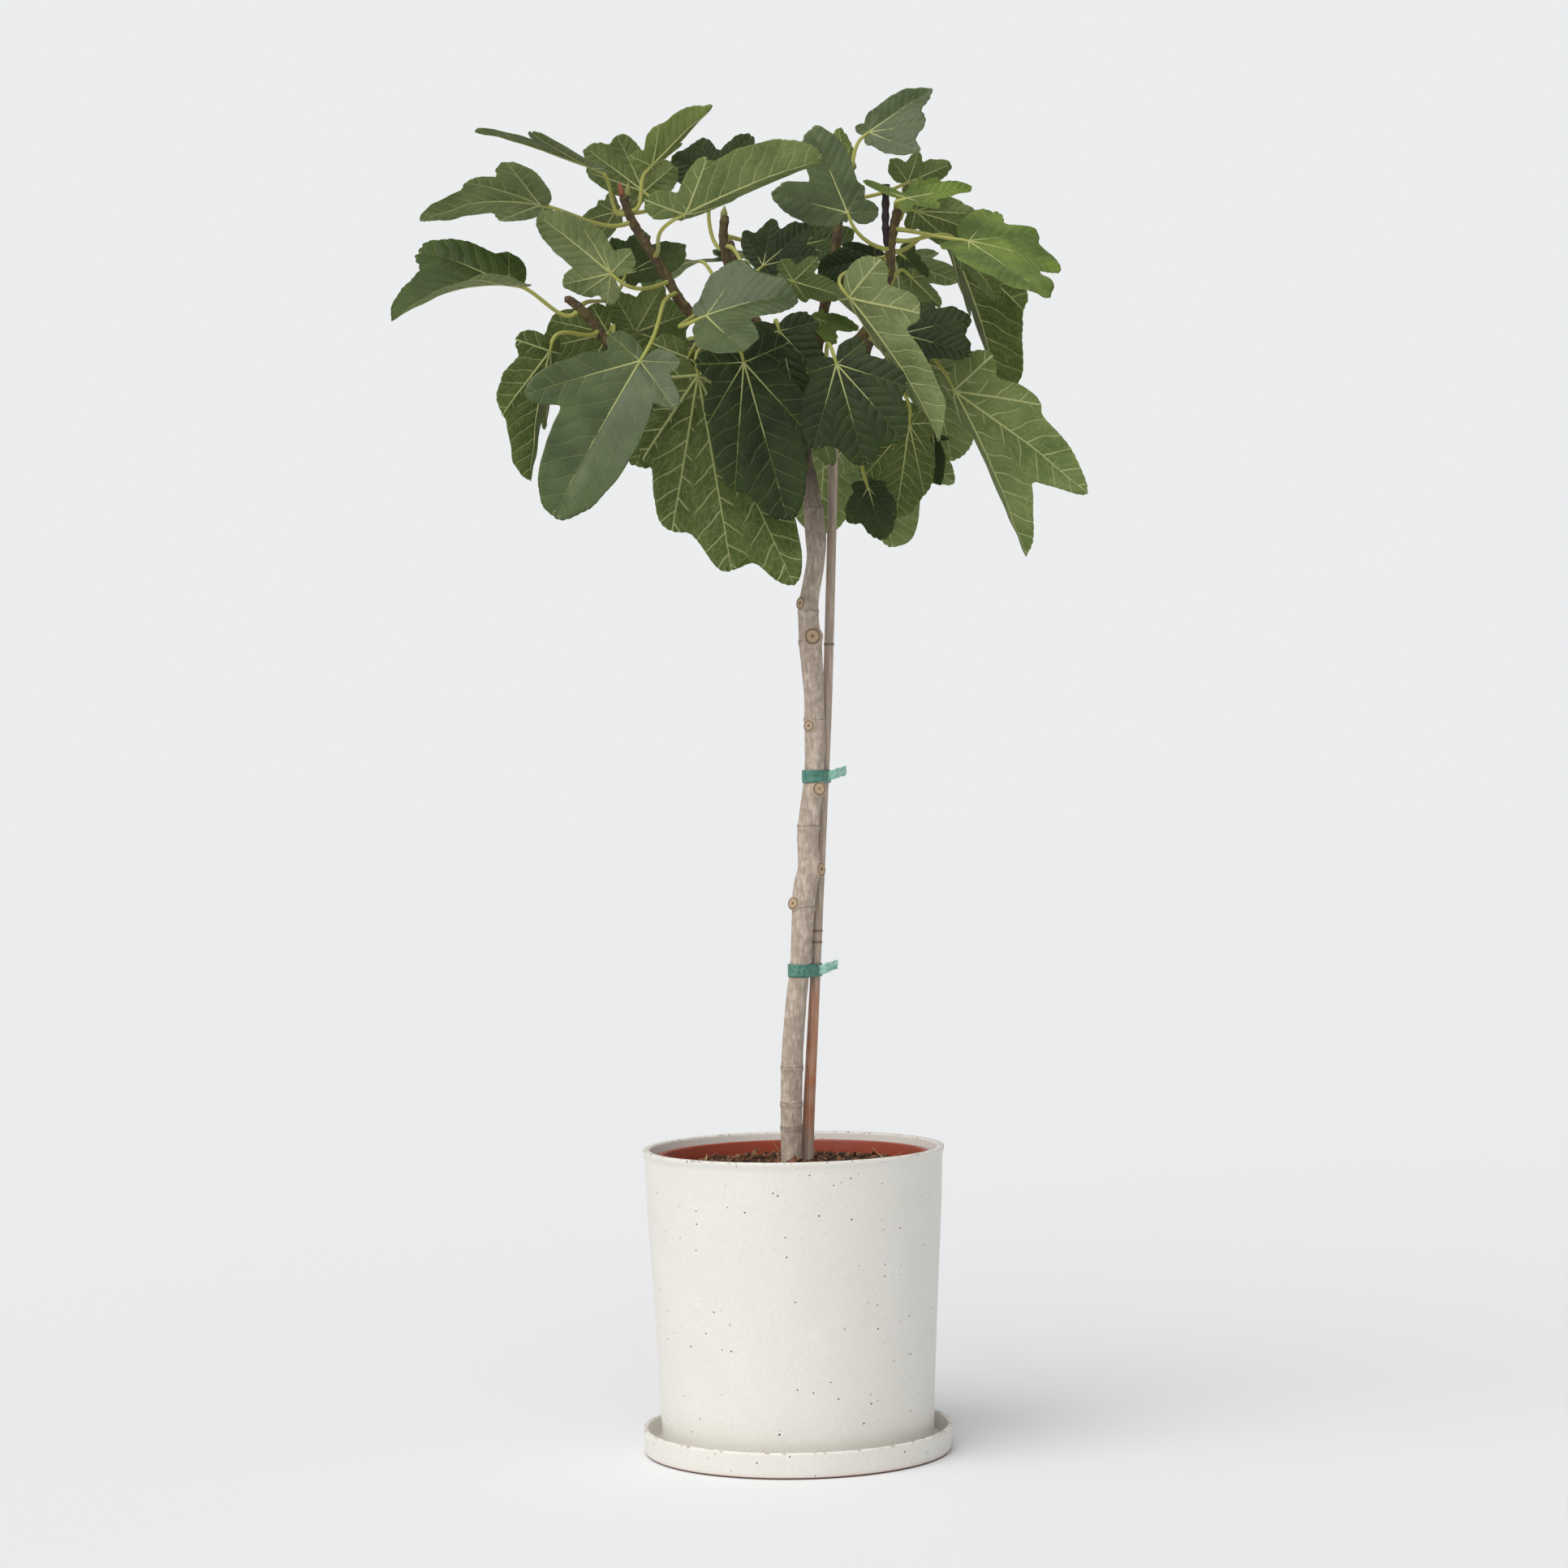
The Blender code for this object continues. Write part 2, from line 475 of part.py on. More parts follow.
def make_soil(trunk_socket, cane_socket):
    outer = nursery_radius(soil_top) - NURSERY_WALL - CLEARANCE
    foot = nursery_radius(soil_foot) - NURSERY_WALL - CLEARANCE
    segments = POT_SEGMENTS // 2
    shrink = 1 / math.cos(math.pi / POT_SEGMENTS) - 1
    points = [(0, 0, soil_foot), (0, 0, soil_top + soil_lift(0, 0))]
    rings = ((foot * (1 - shrink), soil_foot), (outer * (1 - shrink), soil_top))
    for radius, height in rings:
        for step in range(segments):
            angle = TURN * step / segments
            points.append((radius * math.cos(angle), radius * math.sin(angle), height))
    for share in (0.72, 0.45, 0.2):
        for step in range(segments):
            x = outer * share * math.cos(TURN * step / segments)
            y = outer * share * math.sin(TURN * step / segments)
            points.append((x, y, soil_top + soil_lift(x, y)))
    faces = []
    for step in range(segments):
        over = (step + 1) % segments
        faces.append((0, 2 + step, 2 + over))
        for ring in range(4):
            low = 2 + ring * segments
            high = low + segments
            faces.append((low + step, low + over, high + over, high + step))
        faces.append((2 + 4 * segments + step, 2 + 4 * segments + over, 1))
    soil = solid("soil", points, faces, finish_material("peat_soil", (0.06, 0.028, 0.014), 0.95))
    combine(soil, trunk_socket, "DIFFERENCE")
    combine(soil, cane_socket, "DIFFERENCE")


def over_soil(point):
    return Vector((point[0], point[1], point[2] + soil_top))


def trunk_points():
    base_x, _, girth = TRUNK_LINE[0]
    points = [over_soil((base_x, 0, -ROOTED_DEPTH))]
    radii = [TRUNK_RADIUS * girth]
    for x, height, girth in TRUNK_LINE:
        points.append(over_soil((x, 0, height)))
        radii.append(TRUNK_RADIUS * girth)
    return points, radii


def along_line(line, height):
    """The values between a line's points at a height over the soil; the height is second in each point."""
    for low, high in zip(line, line[1:]):
        if height <= high[1]:
            break
    share = (height - low[1]) / (high[1] - low[1])
    return [a + (b - a) * share for a, b in zip(low, high)]


def cane_points():
    behind = math.sqrt((TRUNK_RADIUS + CANE_RADIUS + CLEARANCE) ** 2 - CANE_SIDE**2)
    line = ((CANE_LINE[0][0], -CANE_DEPTH), *CANE_LINE)
    return [over_soil((x, behind, height)) for x, height in line]


def cane_radii():
    return [CANE_RADIUS * share for share in (1.15, 1.15, 0.95, 0.9, 0.88, 0.85, 0.8)]


def twig_radii(count):
    return [TWIG_RADIUS + (TWIG_TIP_RADIUS - TWIG_RADIUS) * step / (count - 1) for step in range(count)]


def make_stem():
    bark = finish_material("fig_bark", (0.25, 0.2, 0.16), 0.8)
    points, radii = trunk_points()
    trunk = tube("trunk", points, radii, 10, bark)
    for name, line in TWIG_LINES.items():
        line = [over_soil(point) for point in line]
        combine(trunk, tube("twig_" + name, line, twig_radii(len(line)), 7, bark), "UNION")
    stub = [over_soil(point) for point in DEAD_STUB]
    combine(trunk, tube("dead_stub", stub, [DEAD_STUB_RADIUS] * 3, 6, bark), "UNION")
    wide = [radius + CLEARANCE for radius in radii]
    points[0] = points[0] - Vector((0, 0, CLEARANCE))
    return tube("trunk_socket", points[:4], wide[:4], 10, bark)


def make_cane():
    bamboo = finish_material("bamboo", (0.24, 0.18, 0.13), 0.6)
    points, radii = cane_points(), cane_radii()
    tube("cane", points, radii, 8, bamboo)
    wide = [radius + CLEARANCE for radius in radii]
    points[0] = points[0] - Vector((0, 0, CLEARANCE))
    return tube("cane_socket", points[:3], wide[:3], 8, bamboo)


def make_tie(name, height, tail_rise):
    """A ribbon of tape laid once round stem and cane, ending in a loose tail in front."""
    stem_x, _, girth = along_line(TRUNK_LINE, height)
    cane_x = along_line(CANE_LINE, height)[0]
    behind = cane_points()[0].y
    posts = ((stem_x, 0, TRUNK_RADIUS * girth), (cane_x, behind, CANE_RADIUS))
    steps = 24
    line = []
    for step in range(steps + 1):
        angle = TURN * (step / steps - 0.25)
        out = (math.cos(angle), math.sin(angle))
        spread = TAPE_SLACK + (TAPE_THICKNESS + CLEARANCE) * step / steps
        x, y, radius = max(posts, key=lambda post: post[0] * out[0] + post[1] * out[1] + post[2])
        line.append((x + (radius + spread) * out[0], y + (radius + spread) * out[1], out, 0))
    x, y, out, _ = line[-1]
    for share in (0.35, 0.7, 1):
        swing = 0.0015 * math.sin(5 * share)
        line.append((x + TAPE_TAIL * share, y - swing, (-0.2, -0.98), tail_rise * share))
    points = []
    for x, y, out, rise in line:
        for reach in (0, TAPE_THICKNESS):
            for end in (-0.5, 0.5):
                level = height + rise + end * TAPE_WIDTH
                points.append(over_soil((x + out[0] * reach, y + out[1] * reach, level)))
    faces = [(0, 1, 3, 2), tuple(len(points) - 4 + corner for corner in (0, 1, 3, 2))]
    for start in range(0, len(points) - 4, 4):
        for a, b in ((0, 1), (1, 3), (3, 2), (2, 0)):
            faces.append((start + a, start + b, start + 4 + b, start + 4 + a))
    solid(name, points, faces, finish_material(name + "_tape", (0.1, 0.2, 0.15), 0.3), smooth=False)


class Blade:
    """One leaf's blade: its outline when flat, and the bent surface that it lies on."""

    def __init__(self, name, joint, tip, faces, left, right, fold=8, droop=15, slim=LOBE_SLIM):
        self.joint = joint
        chord = tip - joint
        half = math.radians(max(droop, 1)) / 2
        self.length = chord.length * half / math.sin(half)
        ahead = chord.normalized()
        up = (faces - ahead * faces.dot(ahead)).normalized()
        self.tangent = ahead * math.cos(half) + up * math.sin(half)
        self.normal = up * math.cos(half) - ahead * math.sin(half)
        self.side = self.normal.cross(self.tangent)
        self.bend = 2 * half / self.length
        self.fold = math.radians(fold)
        self.lobes = [(0, 1, slim)]
        for lobes, sign in ((left, 1), (right, -1)):
            for degrees, reach, *own_slim in lobes:
                lobe_slim = own_slim[0] if own_slim else slim if degrees < 85 else BASE_LOBE_SLIM
                self.lobes.append((sign * degrees, reach, lobe_slim))
        self.phase = random.Random(name).uniform(0, TURN)

    def reach(self, degrees):
        """How far the outline lies from the stalk's end, this many degrees from the midrib."""
        degrees = (degrees + 180) % 360 - 180
        if abs(degrees) > 164:
            return PETIOLE_START
        total = 0
        for middle, size, slim in self.lobes:
            away = math.radians(degrees - middle)
            if math.cos(away) > 0:
                width = math.cos(away) ** 2 + (slim * math.sin(away)) ** 2
                total += (size * math.cos(away) / width) ** 7
        return max(total ** (1 / 7) * self.length, 1.15 * PETIOLE_START)

    def place(self, ahead, across, lift):
        """The point of the bent blade that lies this far ahead and across on the flat one."""
        turned_by = self.bend * max(ahead, 0)
        if ahead > 0:
            run = math.sin(turned_by) / self.bend
            drop = (1 - math.cos(turned_by)) / self.bend
        else:
            run = ahead
            drop = 0
        normal = self.normal * math.cos(turned_by) + self.tangent * math.sin(turned_by)
        soft = 0.05 * self.length
        rise = math.sin(self.fold) * (math.hypot(across, soft) - soft)
        far = (ahead**2 + across**2) / self.length**2
        wave = 0.03 * self.length * far * math.sin(2.5 * math.atan2(across, ahead) + self.phase)
        flat = self.joint + self.tangent * run - self.normal * drop
        return flat + self.side * (across * math.cos(self.fold)) + normal * (rise + wave + lift)


def spoke_angles(blade):
    """Directions from the stalk's end in which the outline is sampled: each lobe's tip and its shoulders."""
    angles = {0, 180, 165, -165, 150, -150}
    for side in (1, -1):
        tips = sorted([0] + [degrees * side for degrees, _, _ in blade.lobes if degrees * side > 0])
        for low, high in zip(tips, tips[1:]):
            shares = (0.25, 0.5, 0.75, 1) if high - low > 26 else (0.5, 1)
            angles |= {side * (low + (high - low) * share) for share in shares}
        if tips[-1] < 125:
            angles |= {side * (tips[-1] + 150) / 2}
    return sorted(angle % 360 for angle in angles)


def stalk_root(twig, share, towards):
    """Where a leaf stalk meets its twig, just off the bark on the side that faces the blade."""
    line = [over_soil(point) for point in TWIG_LINES[twig]]
    lengths = [(b - a).length for a, b in zip(line, line[1:])]
    left = share * sum(lengths)
    for start, end, length in zip(line, line[1:], lengths):
        if left <= length:
            break
        left -= length
    axis = start.lerp(end, min(left / length, 1))
    along = (end - start).normalized()
    out = towards - axis
    out = (out - along * out.dot(along)).normalized()
    radius = TWIG_RADIUS + (TWIG_TIP_RADIUS - TWIG_RADIUS) * share
    return axis + out * (radius + CLEARANCE), out


def make_leaf(name, twig, share, joint, tip, faces, shape, material):
    blade = Blade(name, over_soil(joint), over_soil(tip), Vector(faces), **shape)
    angles = spoke_angles(blade)
    count = len(angles)
    points = []
    for lift in (BLADE_THICKNESS / 2, -BLADE_THICKNESS / 2):
        points.append(blade.place(0, 0, lift))
        for ring in (0.5, 1):
            for degrees in angles:
                reach = ring * blade.reach(degrees)
                ahead = reach * math.cos(math.radians(degrees))
                across = reach * math.sin(math.radians(degrees))
                points.append(blade.place(ahead, across, lift))
    under = 1 + 2 * count
    faces_list = []
    port = angles.index(180)
    for step in range(count):
        over = (step + 1) % count
        for base in (0, under):
            faces_list.append((base, base + 1 + step, base + 1 + over))
            inner, outer = base + 1, base + 1 + count
            faces_list.append((inner + step, inner + over, outer + over, outer + step))
        if step not in (port - 1, port):
            edge = 1 + count
            faces_list.append((edge + step, edge + over, under + edge + over, under + edge + step))
    outer = 1 + count + port
    ring = [outer - 1, outer, outer + 1, under + outer + 1, under + outer, under + outer - 1]

    start = blade.place(-PETIOLE_START, 0, 0)
    root, out = stalk_root(twig, share, start)
    pull = (root - start).length / 3
    controls = (start, start - blade.tangent * pull, root + out * pull, root)
    side = blade.side
    before = start
    for step in (1, 2, 3):
        t = step / 3
        weights = ((1 - t) ** 3, 3 * t * (1 - t) ** 2, 3 * t * t * (1 - t), t**3)
        centre = sum((control * weight for control, weight in zip(controls, weights)), Vector())
        along = -out if step == 3 else (centre - before).normalized()
        side = (side - along * side.dot(along)).normalized()
        up = side.cross(along)
        before = centre
        following = []
        for corner in range(6):
            angle = math.radians(30 + 60 * corner)
            following.append(len(points))
            points.append(centre + (side * math.cos(angle) + up * math.sin(angle)) * PETIOLE_RADIUS)
        for corner in range(6):
            over = (corner + 1) % 6
            faces_list.append((ring[corner], ring[over], following[over], following[corner]))
        ring = following
    faces_list.append(tuple(ring))
    solid(name, points, faces_list, material)


clear_scene()
make_saucer()
make_planter()
make_nursery_pot()
make_soil(make_stem(), make_cane())
make_tie("tie_lower", 0.199, 0.006)
make_tie("tie_upper", 0.395, 0.004)
leaf_material = finish_material("fig_leaf", (0.06, 0.1, 0.03), 0.5)
for leaf_name, *details in LEAVES:
    make_leaf("leaf_" + leaf_name, *details, leaf_material)
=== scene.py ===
# %% [markdown]
# # A potted fig tree
# This script gives looks to a young fig tree in a planter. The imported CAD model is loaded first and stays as
# it is. Every piece made here takes its place from it and stands for one of its nodes. Sizes are in metres,
# +Z is up, and the front looks towards -Y.

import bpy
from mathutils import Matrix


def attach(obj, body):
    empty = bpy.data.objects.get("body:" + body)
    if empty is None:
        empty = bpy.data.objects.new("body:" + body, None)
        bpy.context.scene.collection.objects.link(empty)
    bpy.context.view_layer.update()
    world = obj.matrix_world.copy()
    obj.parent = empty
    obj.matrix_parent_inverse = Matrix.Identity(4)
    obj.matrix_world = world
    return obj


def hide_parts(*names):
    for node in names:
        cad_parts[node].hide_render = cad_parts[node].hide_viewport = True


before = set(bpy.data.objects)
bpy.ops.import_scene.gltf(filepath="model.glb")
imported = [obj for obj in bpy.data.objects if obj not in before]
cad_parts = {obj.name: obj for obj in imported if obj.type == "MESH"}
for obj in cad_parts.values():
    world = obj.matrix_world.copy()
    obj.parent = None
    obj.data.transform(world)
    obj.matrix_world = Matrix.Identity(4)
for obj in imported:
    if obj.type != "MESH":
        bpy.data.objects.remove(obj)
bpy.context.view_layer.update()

# %% The tools used below
import math
import random

import bmesh
import bpy
from mathutils import Vector, noise

TURN = 2 * math.pi
print("Blender", bpy.app.version_string)

# %% [markdown]
# ## Camera
# A long lens from three and a half metres keeps the pot's sides almost straight and shows its rim as a thin
# ellipse. The camera stands level, a little under half the tree's height, and leans one degree to the side.

# %% Camera
camera = bpy.data.objects.new("camera", bpy.data.cameras.new("camera"))
bpy.context.scene.collection.objects.link(camera)
camera.location = (-0.003, -3.45, 0.673)
camera.rotation_euler = (math.radians(90), math.radians(1), 0)
camera.data.lens = 78.26
camera.data.sensor_width = 36
bpy.context.scene.camera = camera
print("camera", round(camera.location.length, 2), "m from the pot's foot")

# %% [markdown]
# ## Colours and nodes
# Colours are written as sRGB hex, as a paint chart gives them, and one function turns them to the linear
# values that Blender mixes light with. One more function adds a shader node: it fills the node's sockets in
# order, or by name, and hands back an output to plug into the next node. Most materials end alike, with a
# colour and a fine relief, so a last function wires those two.

# %% Colours and nodes
def linear(text):
    """A colour from sRGB hex, such as #c0ffee, in linear light."""
    values = []
    for start in (1, 3, 5):
        share = int(text[start : start + 2], 16) / 255
        values.append(share / 12.92 if share < 0.04045 else ((share + 0.055) / 1.055) ** 2.4)
    return (*values, 1)


def add(tree, kind, *values, out=0, sockets=None, **settings):
    """Adds a node, plugs or fills its sockets, and returns one of its outputs."""
    made = tree.nodes.new("ShaderNode" + kind)
    for name, value in settings.items():
        setattr(made, name, value)
    for socket, value in [*enumerate(values), *(sockets or {}).items()]:
        if isinstance(value, bpy.types.NodeSocket):
            tree.links.new(value, made.inputs[socket])
        elif value is not None:
            made.inputs[socket].default_value = linear(value) if isinstance(value, str) else value
    return made.outputs[out]


def new_material(name, roughness, **sockets):
    """A material with one Principled shader. Returns the material, its tree and its shader."""
    material = bpy.data.materials.new(name)
    material.use_nodes = True
    shader = material.node_tree.nodes["Principled BSDF"]
    shader.inputs["Roughness"].default_value = roughness
    for socket, value in sockets.items():
        shader.inputs[socket.replace("_", " ")].default_value = value
    return material, material.node_tree, shader


def finish_skin(tree, shader, colour, relief, distance, strength):
    """Plugs in the colour, and a bump of the relief that stands this far out in metres."""
    tree.links.new(colour, shader.inputs["Base Color"])
    bump = add(tree, "Bump", sockets={"Height": relief, "Distance": distance, "Strength": strength})
    tree.links.new(bump, shader.inputs["Normal"])


print("white is", [round(value, 2) for value in linear("#ffffff")])

# %% [markdown]
# ## Floor and light
# The tree stands in a studio, on a pale floor that runs into a pale wall. The floor is a huge disc and the
# wall is only the tone of the far background, so nothing stands behind the tree that could hide its back.
# The camera sees that tone, but the tree is lit by another one: a glow that is bright at the upper left
# front and dim on the far side, as in a room with one large window. A sun as wide as a softbox comes from
# the same side and casts the soft shadow to the right.

# %% Floor
FLOOR_RADIUS = 60

bpy.ops.mesh.primitive_circle_add(vertices=96, radius=FLOOR_RADIUS, fill_type="NGON")
floor = bpy.context.object
floor.name = "floor"
paper, tree, shader = new_material("studio_paper", 0.9)
grain = add(tree, "TexNoise", sockets={"Scale": 3.0, "Detail": 2.0})
tone = add(tree, "MixRGB", grain, "#e6e7e8", "#e8e9ea")
tree.links.new(tone, shader.inputs["Base Color"])
shader.inputs["Specular IOR Level"].default_value = 0.0
floor.data.materials.append(paper)
print("floor is", round(floor.dimensions.x), "m across")

# %% Light
KEY_FROM = Vector((-0.42, -0.52, 0.74)).normalized()
GLOW_DIM = 0.16
GLOW_BRIGHT = 0.80
SOFTBOX_DEGREES = 58

world = bpy.data.worlds.new("studio")
world.use_nodes = True
room = world.node_tree
wall = room.nodes["Background"]
wall.inputs["Color"].default_value = linear("#ecedee")
wall.inputs["Strength"].default_value = 1.0
towards = add(room, "TexCoord")
facing = add(room, "VectorMath", towards, tuple(KEY_FROM), out=1, operation="DOT_PRODUCT")
glow = add(room, "MapRange", facing, -1.0, 1.0, GLOW_DIM, GLOW_BRIGHT)
fill = add(room, "Background", "#fbfcff", glow)
seen = add(room, "LightPath")
both = add(room, "MixShader", seen, fill, wall.outputs[0])
room.links.new(both, room.nodes["World Output"].inputs["Surface"])
bpy.context.scene.world = world
bpy.context.scene.view_settings.view_transform = "Standard"

softbox = bpy.data.objects.new("softbox", bpy.data.lights.new("softbox", "SUN"))
softbox.data.energy = 1.8
softbox.data.angle = math.radians(SOFTBOX_DEGREES)
softbox.data.color = linear("#fffdf8")[:3]
softbox.rotation_euler = KEY_FROM.to_track_quat("Z", "Y").to_euler()
bpy.context.scene.collection.objects.link(softbox)
print("softbox", softbox.data.energy, "from", [round(value, 2) for value in KEY_FROM])

# %% [markdown]
# ## Sizes
# These are the CAD model's own sizes. Each piece is built from them again, finer, so it lies where its CAD
# node lies.

# %% Sizes
CLEARANCE = 0.0003

SAUCER_HEIGHT = 0.026
SAUCER_WALL = 0.0055
SAUCER_FLOOR = 0.008
SAUCER_GAP = 0.014
SAUCER_FLARE = 0.0026

PLANTER_HEIGHT = 0.298
PLANTER_RIM_RADIUS = 0.1525
PLANTER_FOOT_RADIUS = 0.137
PLANTER_WALL = 0.0075
PLANTER_BASE = 0.010
PLANTER_LIP = 0.008
PLANTER_DRAIN_RADIUS = 0.012

NURSERY_RIM_DROP = 0.0075
NURSERY_RIM_GAP = 0.0055
NURSERY_FOOT_GAP = 0.017
NURSERY_WALL = 0.002
NURSERY_RIM_BAND = 0.004
NURSERY_DRAIN_RADIUS = 0.010

SOIL_DROP = 0.0138
SOIL_LUMP = 0.003
ROOTED_DEPTH = 0.06
CANE_DEPTH = 0.10

planter_foot = SAUCER_FLOOR + CLEARANCE
planter_top = planter_foot + PLANTER_HEIGHT
nursery_foot = planter_foot + PLANTER_BASE + CLEARANCE
nursery_top = planter_top - NURSERY_RIM_DROP
soil_top = nursery_top - SOIL_DROP
print("planter top", round(planter_top, 4), "soil top", round(soil_top, 4))

# %% [markdown]
# ## Turned shapes
# A pot is a solid of revolution: its wall's outline, spun round the middle. The outline is drawn with sharp
# corners and then each corner is rounded, as clay or moulded plastic is, by a short curve between two points
# near it.

# %% Turned shapes
def rounded(outline, radius, closed=True, steps=5):
    """The outline with each corner replaced by a short curve. Radius is the cut back from a corner."""
    smooth = []
    count = len(outline)
    for index, corner in enumerate(outline):
        if not closed and index in (0, count - 1):
            smooth.append(corner)
            continue
        here = Vector(corner)
        before = Vector(outline[index - 1])
        after = Vector(outline[(index + 1) % count])
        cut_in = here.lerp(before, min(radius / (before - here).length, 0.45))
        cut_out = here.lerp(after, min(radius / (after - here).length, 0.45))
        for step in range(steps + 1):
            share = step / steps
            smooth.append(tuple(cut_in.lerp(here, share).lerp(here.lerp(cut_out, share), share)))
    return smooth


def new_object(name, points, faces, *materials):
    """A smooth-shaded mesh object from its points and faces."""
    mesh = bpy.data.meshes.new(name)
    mesh.from_pydata([tuple(point) for point in points], [], faces)
    for material in materials:
        mesh.materials.append(material)
    mesh.polygons.foreach_set("use_smooth", [True] * len(mesh.polygons))
    obj = bpy.data.objects.new(name, mesh)
    bpy.context.scene.collection.objects.link(obj)
    return obj


def face_out(obj):
    """Turns a closed mesh's faces outwards."""
    work = bmesh.new()
    work.from_mesh(obj.data)
    bmesh.ops.recalc_face_normals(work, faces=work.faces)
    if work.calc_volume(signed=True) < 0:
        bmesh.ops.reverse_faces(work, faces=work.faces)
    work.to_mesh(obj.data)
    work.free()


def turned(name, outline, material, segments=160, closed=True):
    """Spins a closed outline of (radius, height) round Z; an open one gets a flat disc at each end."""
    count = len(outline)
    points = []
    faces = []
    for step in range(segments):
        angle = TURN * step / segments
        here = step * count
        over = (step + 1) % segments * count
        for index, (radius, height) in enumerate(outline):
            points.append((radius * math.cos(angle), radius * math.sin(angle), height))
            if closed or index < count - 1:
                after = (index + 1) % count
                faces.append((here + index, over + index, over + after, here + after))
    if not closed:
        for index in (0, count - 1):
            faces.append([step * count + index for step in range(segments)])
    obj = new_object(name, points, faces, material)
    face_out(obj)
    return obj


def planter_radius(height):
    """Outer radius of the planter's wall, which swells a little on its way up."""
    share = (height - planter_foot) / PLANTER_HEIGHT
    return PLANTER_FOOT_RADIUS + (PLANTER_RIM_RADIUS - PLANTER_FOOT_RADIUS) * max(share, 0) ** 1.2


def show(piece, slot, *nodes):
    """Puts a piece in its CAD nodes' place."""
    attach(piece, "root")
    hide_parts(*nodes)
    sides = [round(side * 1000) for side in piece.dimensions]
    print(piece.name, sides, "mm,", len(piece.data.polygons), "faces")
    return piece

# %% [markdown]
# ## Stoneware glaze
# Planter and saucer are slip-cast stoneware under a warm white satin glaze. Iron in the clay burns through
# the glaze as dark specks, few of them over two millimetres across. The glaze pools a little, so its white
# shifts softly over a few centimetres, and it pulls thin at sharp edges, where brown clay shows in a broken
# line.

# %% Stoneware glaze
# Two patterns of specks: the size of a cell, the largest radius, and the share of cells without one.
SPECKS = ((0.017, 0.0014, 0.45), (0.008, 0.0010, 0.35))


def stoneware_glaze(name, rim_height, foot_colour=None):
    """Speckled white glaze that breaks at the rim. A foot colour leaves bare clay at the foot."""
    material, tree, shader = new_material(name, 0.42, Coat_Weight=0.12, Coat_Roughness=0.3)
    place = add(tree, "TexCoord", out=3)
    height = add(tree, "SeparateXYZ", place, out=2)

    pooled = add(tree, "TexNoise", sockets={"Vector": place, "Scale": 1 / 0.045, "Detail": 3.0})
    colour = add(tree, "MixRGB", pooled, "#dfdcd4", "#e9e6df")
    fine = add(tree, "TexNoise", sockets={"Vector": place, "Scale": 1 / 0.0035, "Detail": 2.0})
    cloudy = add(tree, "MapRange", fine, 0.35, 0.65, 0.0, 0.35)
    colour = add(tree, "MixRGB", cloudy, colour, "#d7d4cb")

    relief = None
    for cell, largest, share in SPECKS:
        sockets = {"Vector": place, "Scale": 1 / cell}
        away = add(tree, "TexVoronoi", sockets=sockets)
        chance = add(tree, "TexVoronoi", sockets=sockets, out=1)
        chance = add(tree, "SeparateColor", chance)
        size = add(tree, "MapRange", chance, share, 1.0, 0.0, largest / cell)
        inside = add(tree, "Math", size, away, operation="SUBTRACT")
        speck = add(tree, "MapRange", inside, 0.0, 0.1 * largest / cell, 0.0, 1.0)
        colour = add(tree, "MixRGB", speck, colour, "#241b15")
        relief = speck if relief is None else add(tree, "Math", relief, speck, operation="ADD")

    # Bare clay in a broken line along the rim, where the glaze ran thin.
    near_rim = add(tree, "MapRange", height, rim_height - 0.0022, rim_height - 0.0008, 0.0, 1.0)
    broken = add(tree, "TexNoise", sockets={"Vector": place, "Scale": 1 / 0.006, "Detail": 3.0})
    broken = add(tree, "MapRange", broken, 0.55, 0.68, 0.0, 0.75)
    thin = add(tree, "Math", near_rim, broken, operation="MULTIPLY")
    colour = add(tree, "MixRGB", thin, colour, "#8d6f52")

    if foot_colour:
        blush = add(tree, "MapRange", height, 0.0024, 0.005, 0.3, 0.0)
        colour = add(tree, "MixRGB", blush, colour, "#cda894")
        bare = add(tree, "MapRange", height, 0.0014, 0.0024, 1.0, 0.0)
        colour = add(tree, "MixRGB", bare, colour, foot_colour)

    sunk = add(tree, "Math", cloudy, relief, operation="SUBTRACT")
    finish_skin(tree, shader, colour, sunk, 0.0002, 0.5)
    return material


saucer_glaze = stoneware_glaze("stoneware_glaze_saucer", SAUCER_HEIGHT, "#5a3528")
planter_glaze = stoneware_glaze("stoneware_glaze_planter", planter_top)
print(saucer_glaze.name, len(saucer_glaze.node_tree.nodes), "nodes")

# %% [markdown]
# ## Saucer
# A low dish that catches drained water. Its foot is bare, because glaze would stick to the kiln shelf.

# %% Saucer
saucer_rim = planter_radius(SAUCER_HEIGHT) + SAUCER_GAP + SAUCER_WALL
saucer_foot = saucer_rim - SAUCER_FLARE
saucer_inner = saucer_rim - SAUCER_WALL
outline = [
    (0.02, 0),
    (saucer_foot, 0),
    (saucer_rim, SAUCER_HEIGHT),
    (saucer_inner, SAUCER_HEIGHT),
    (saucer_inner - SAUCER_FLARE, SAUCER_FLOOR),
    (0.02, SAUCER_FLOOR),
]
saucer = turned("saucer_dish", rounded(outline, 0.0024, closed=False), saucer_glaze, closed=False)
show(saucer, "saucer_glaze", "saucer")

# %% [markdown]
# ## Planter
# The outer pot is taller than wide and tapers to its foot. Its lip is a little thicker than its wall, and
# there is a drain hole in its base.

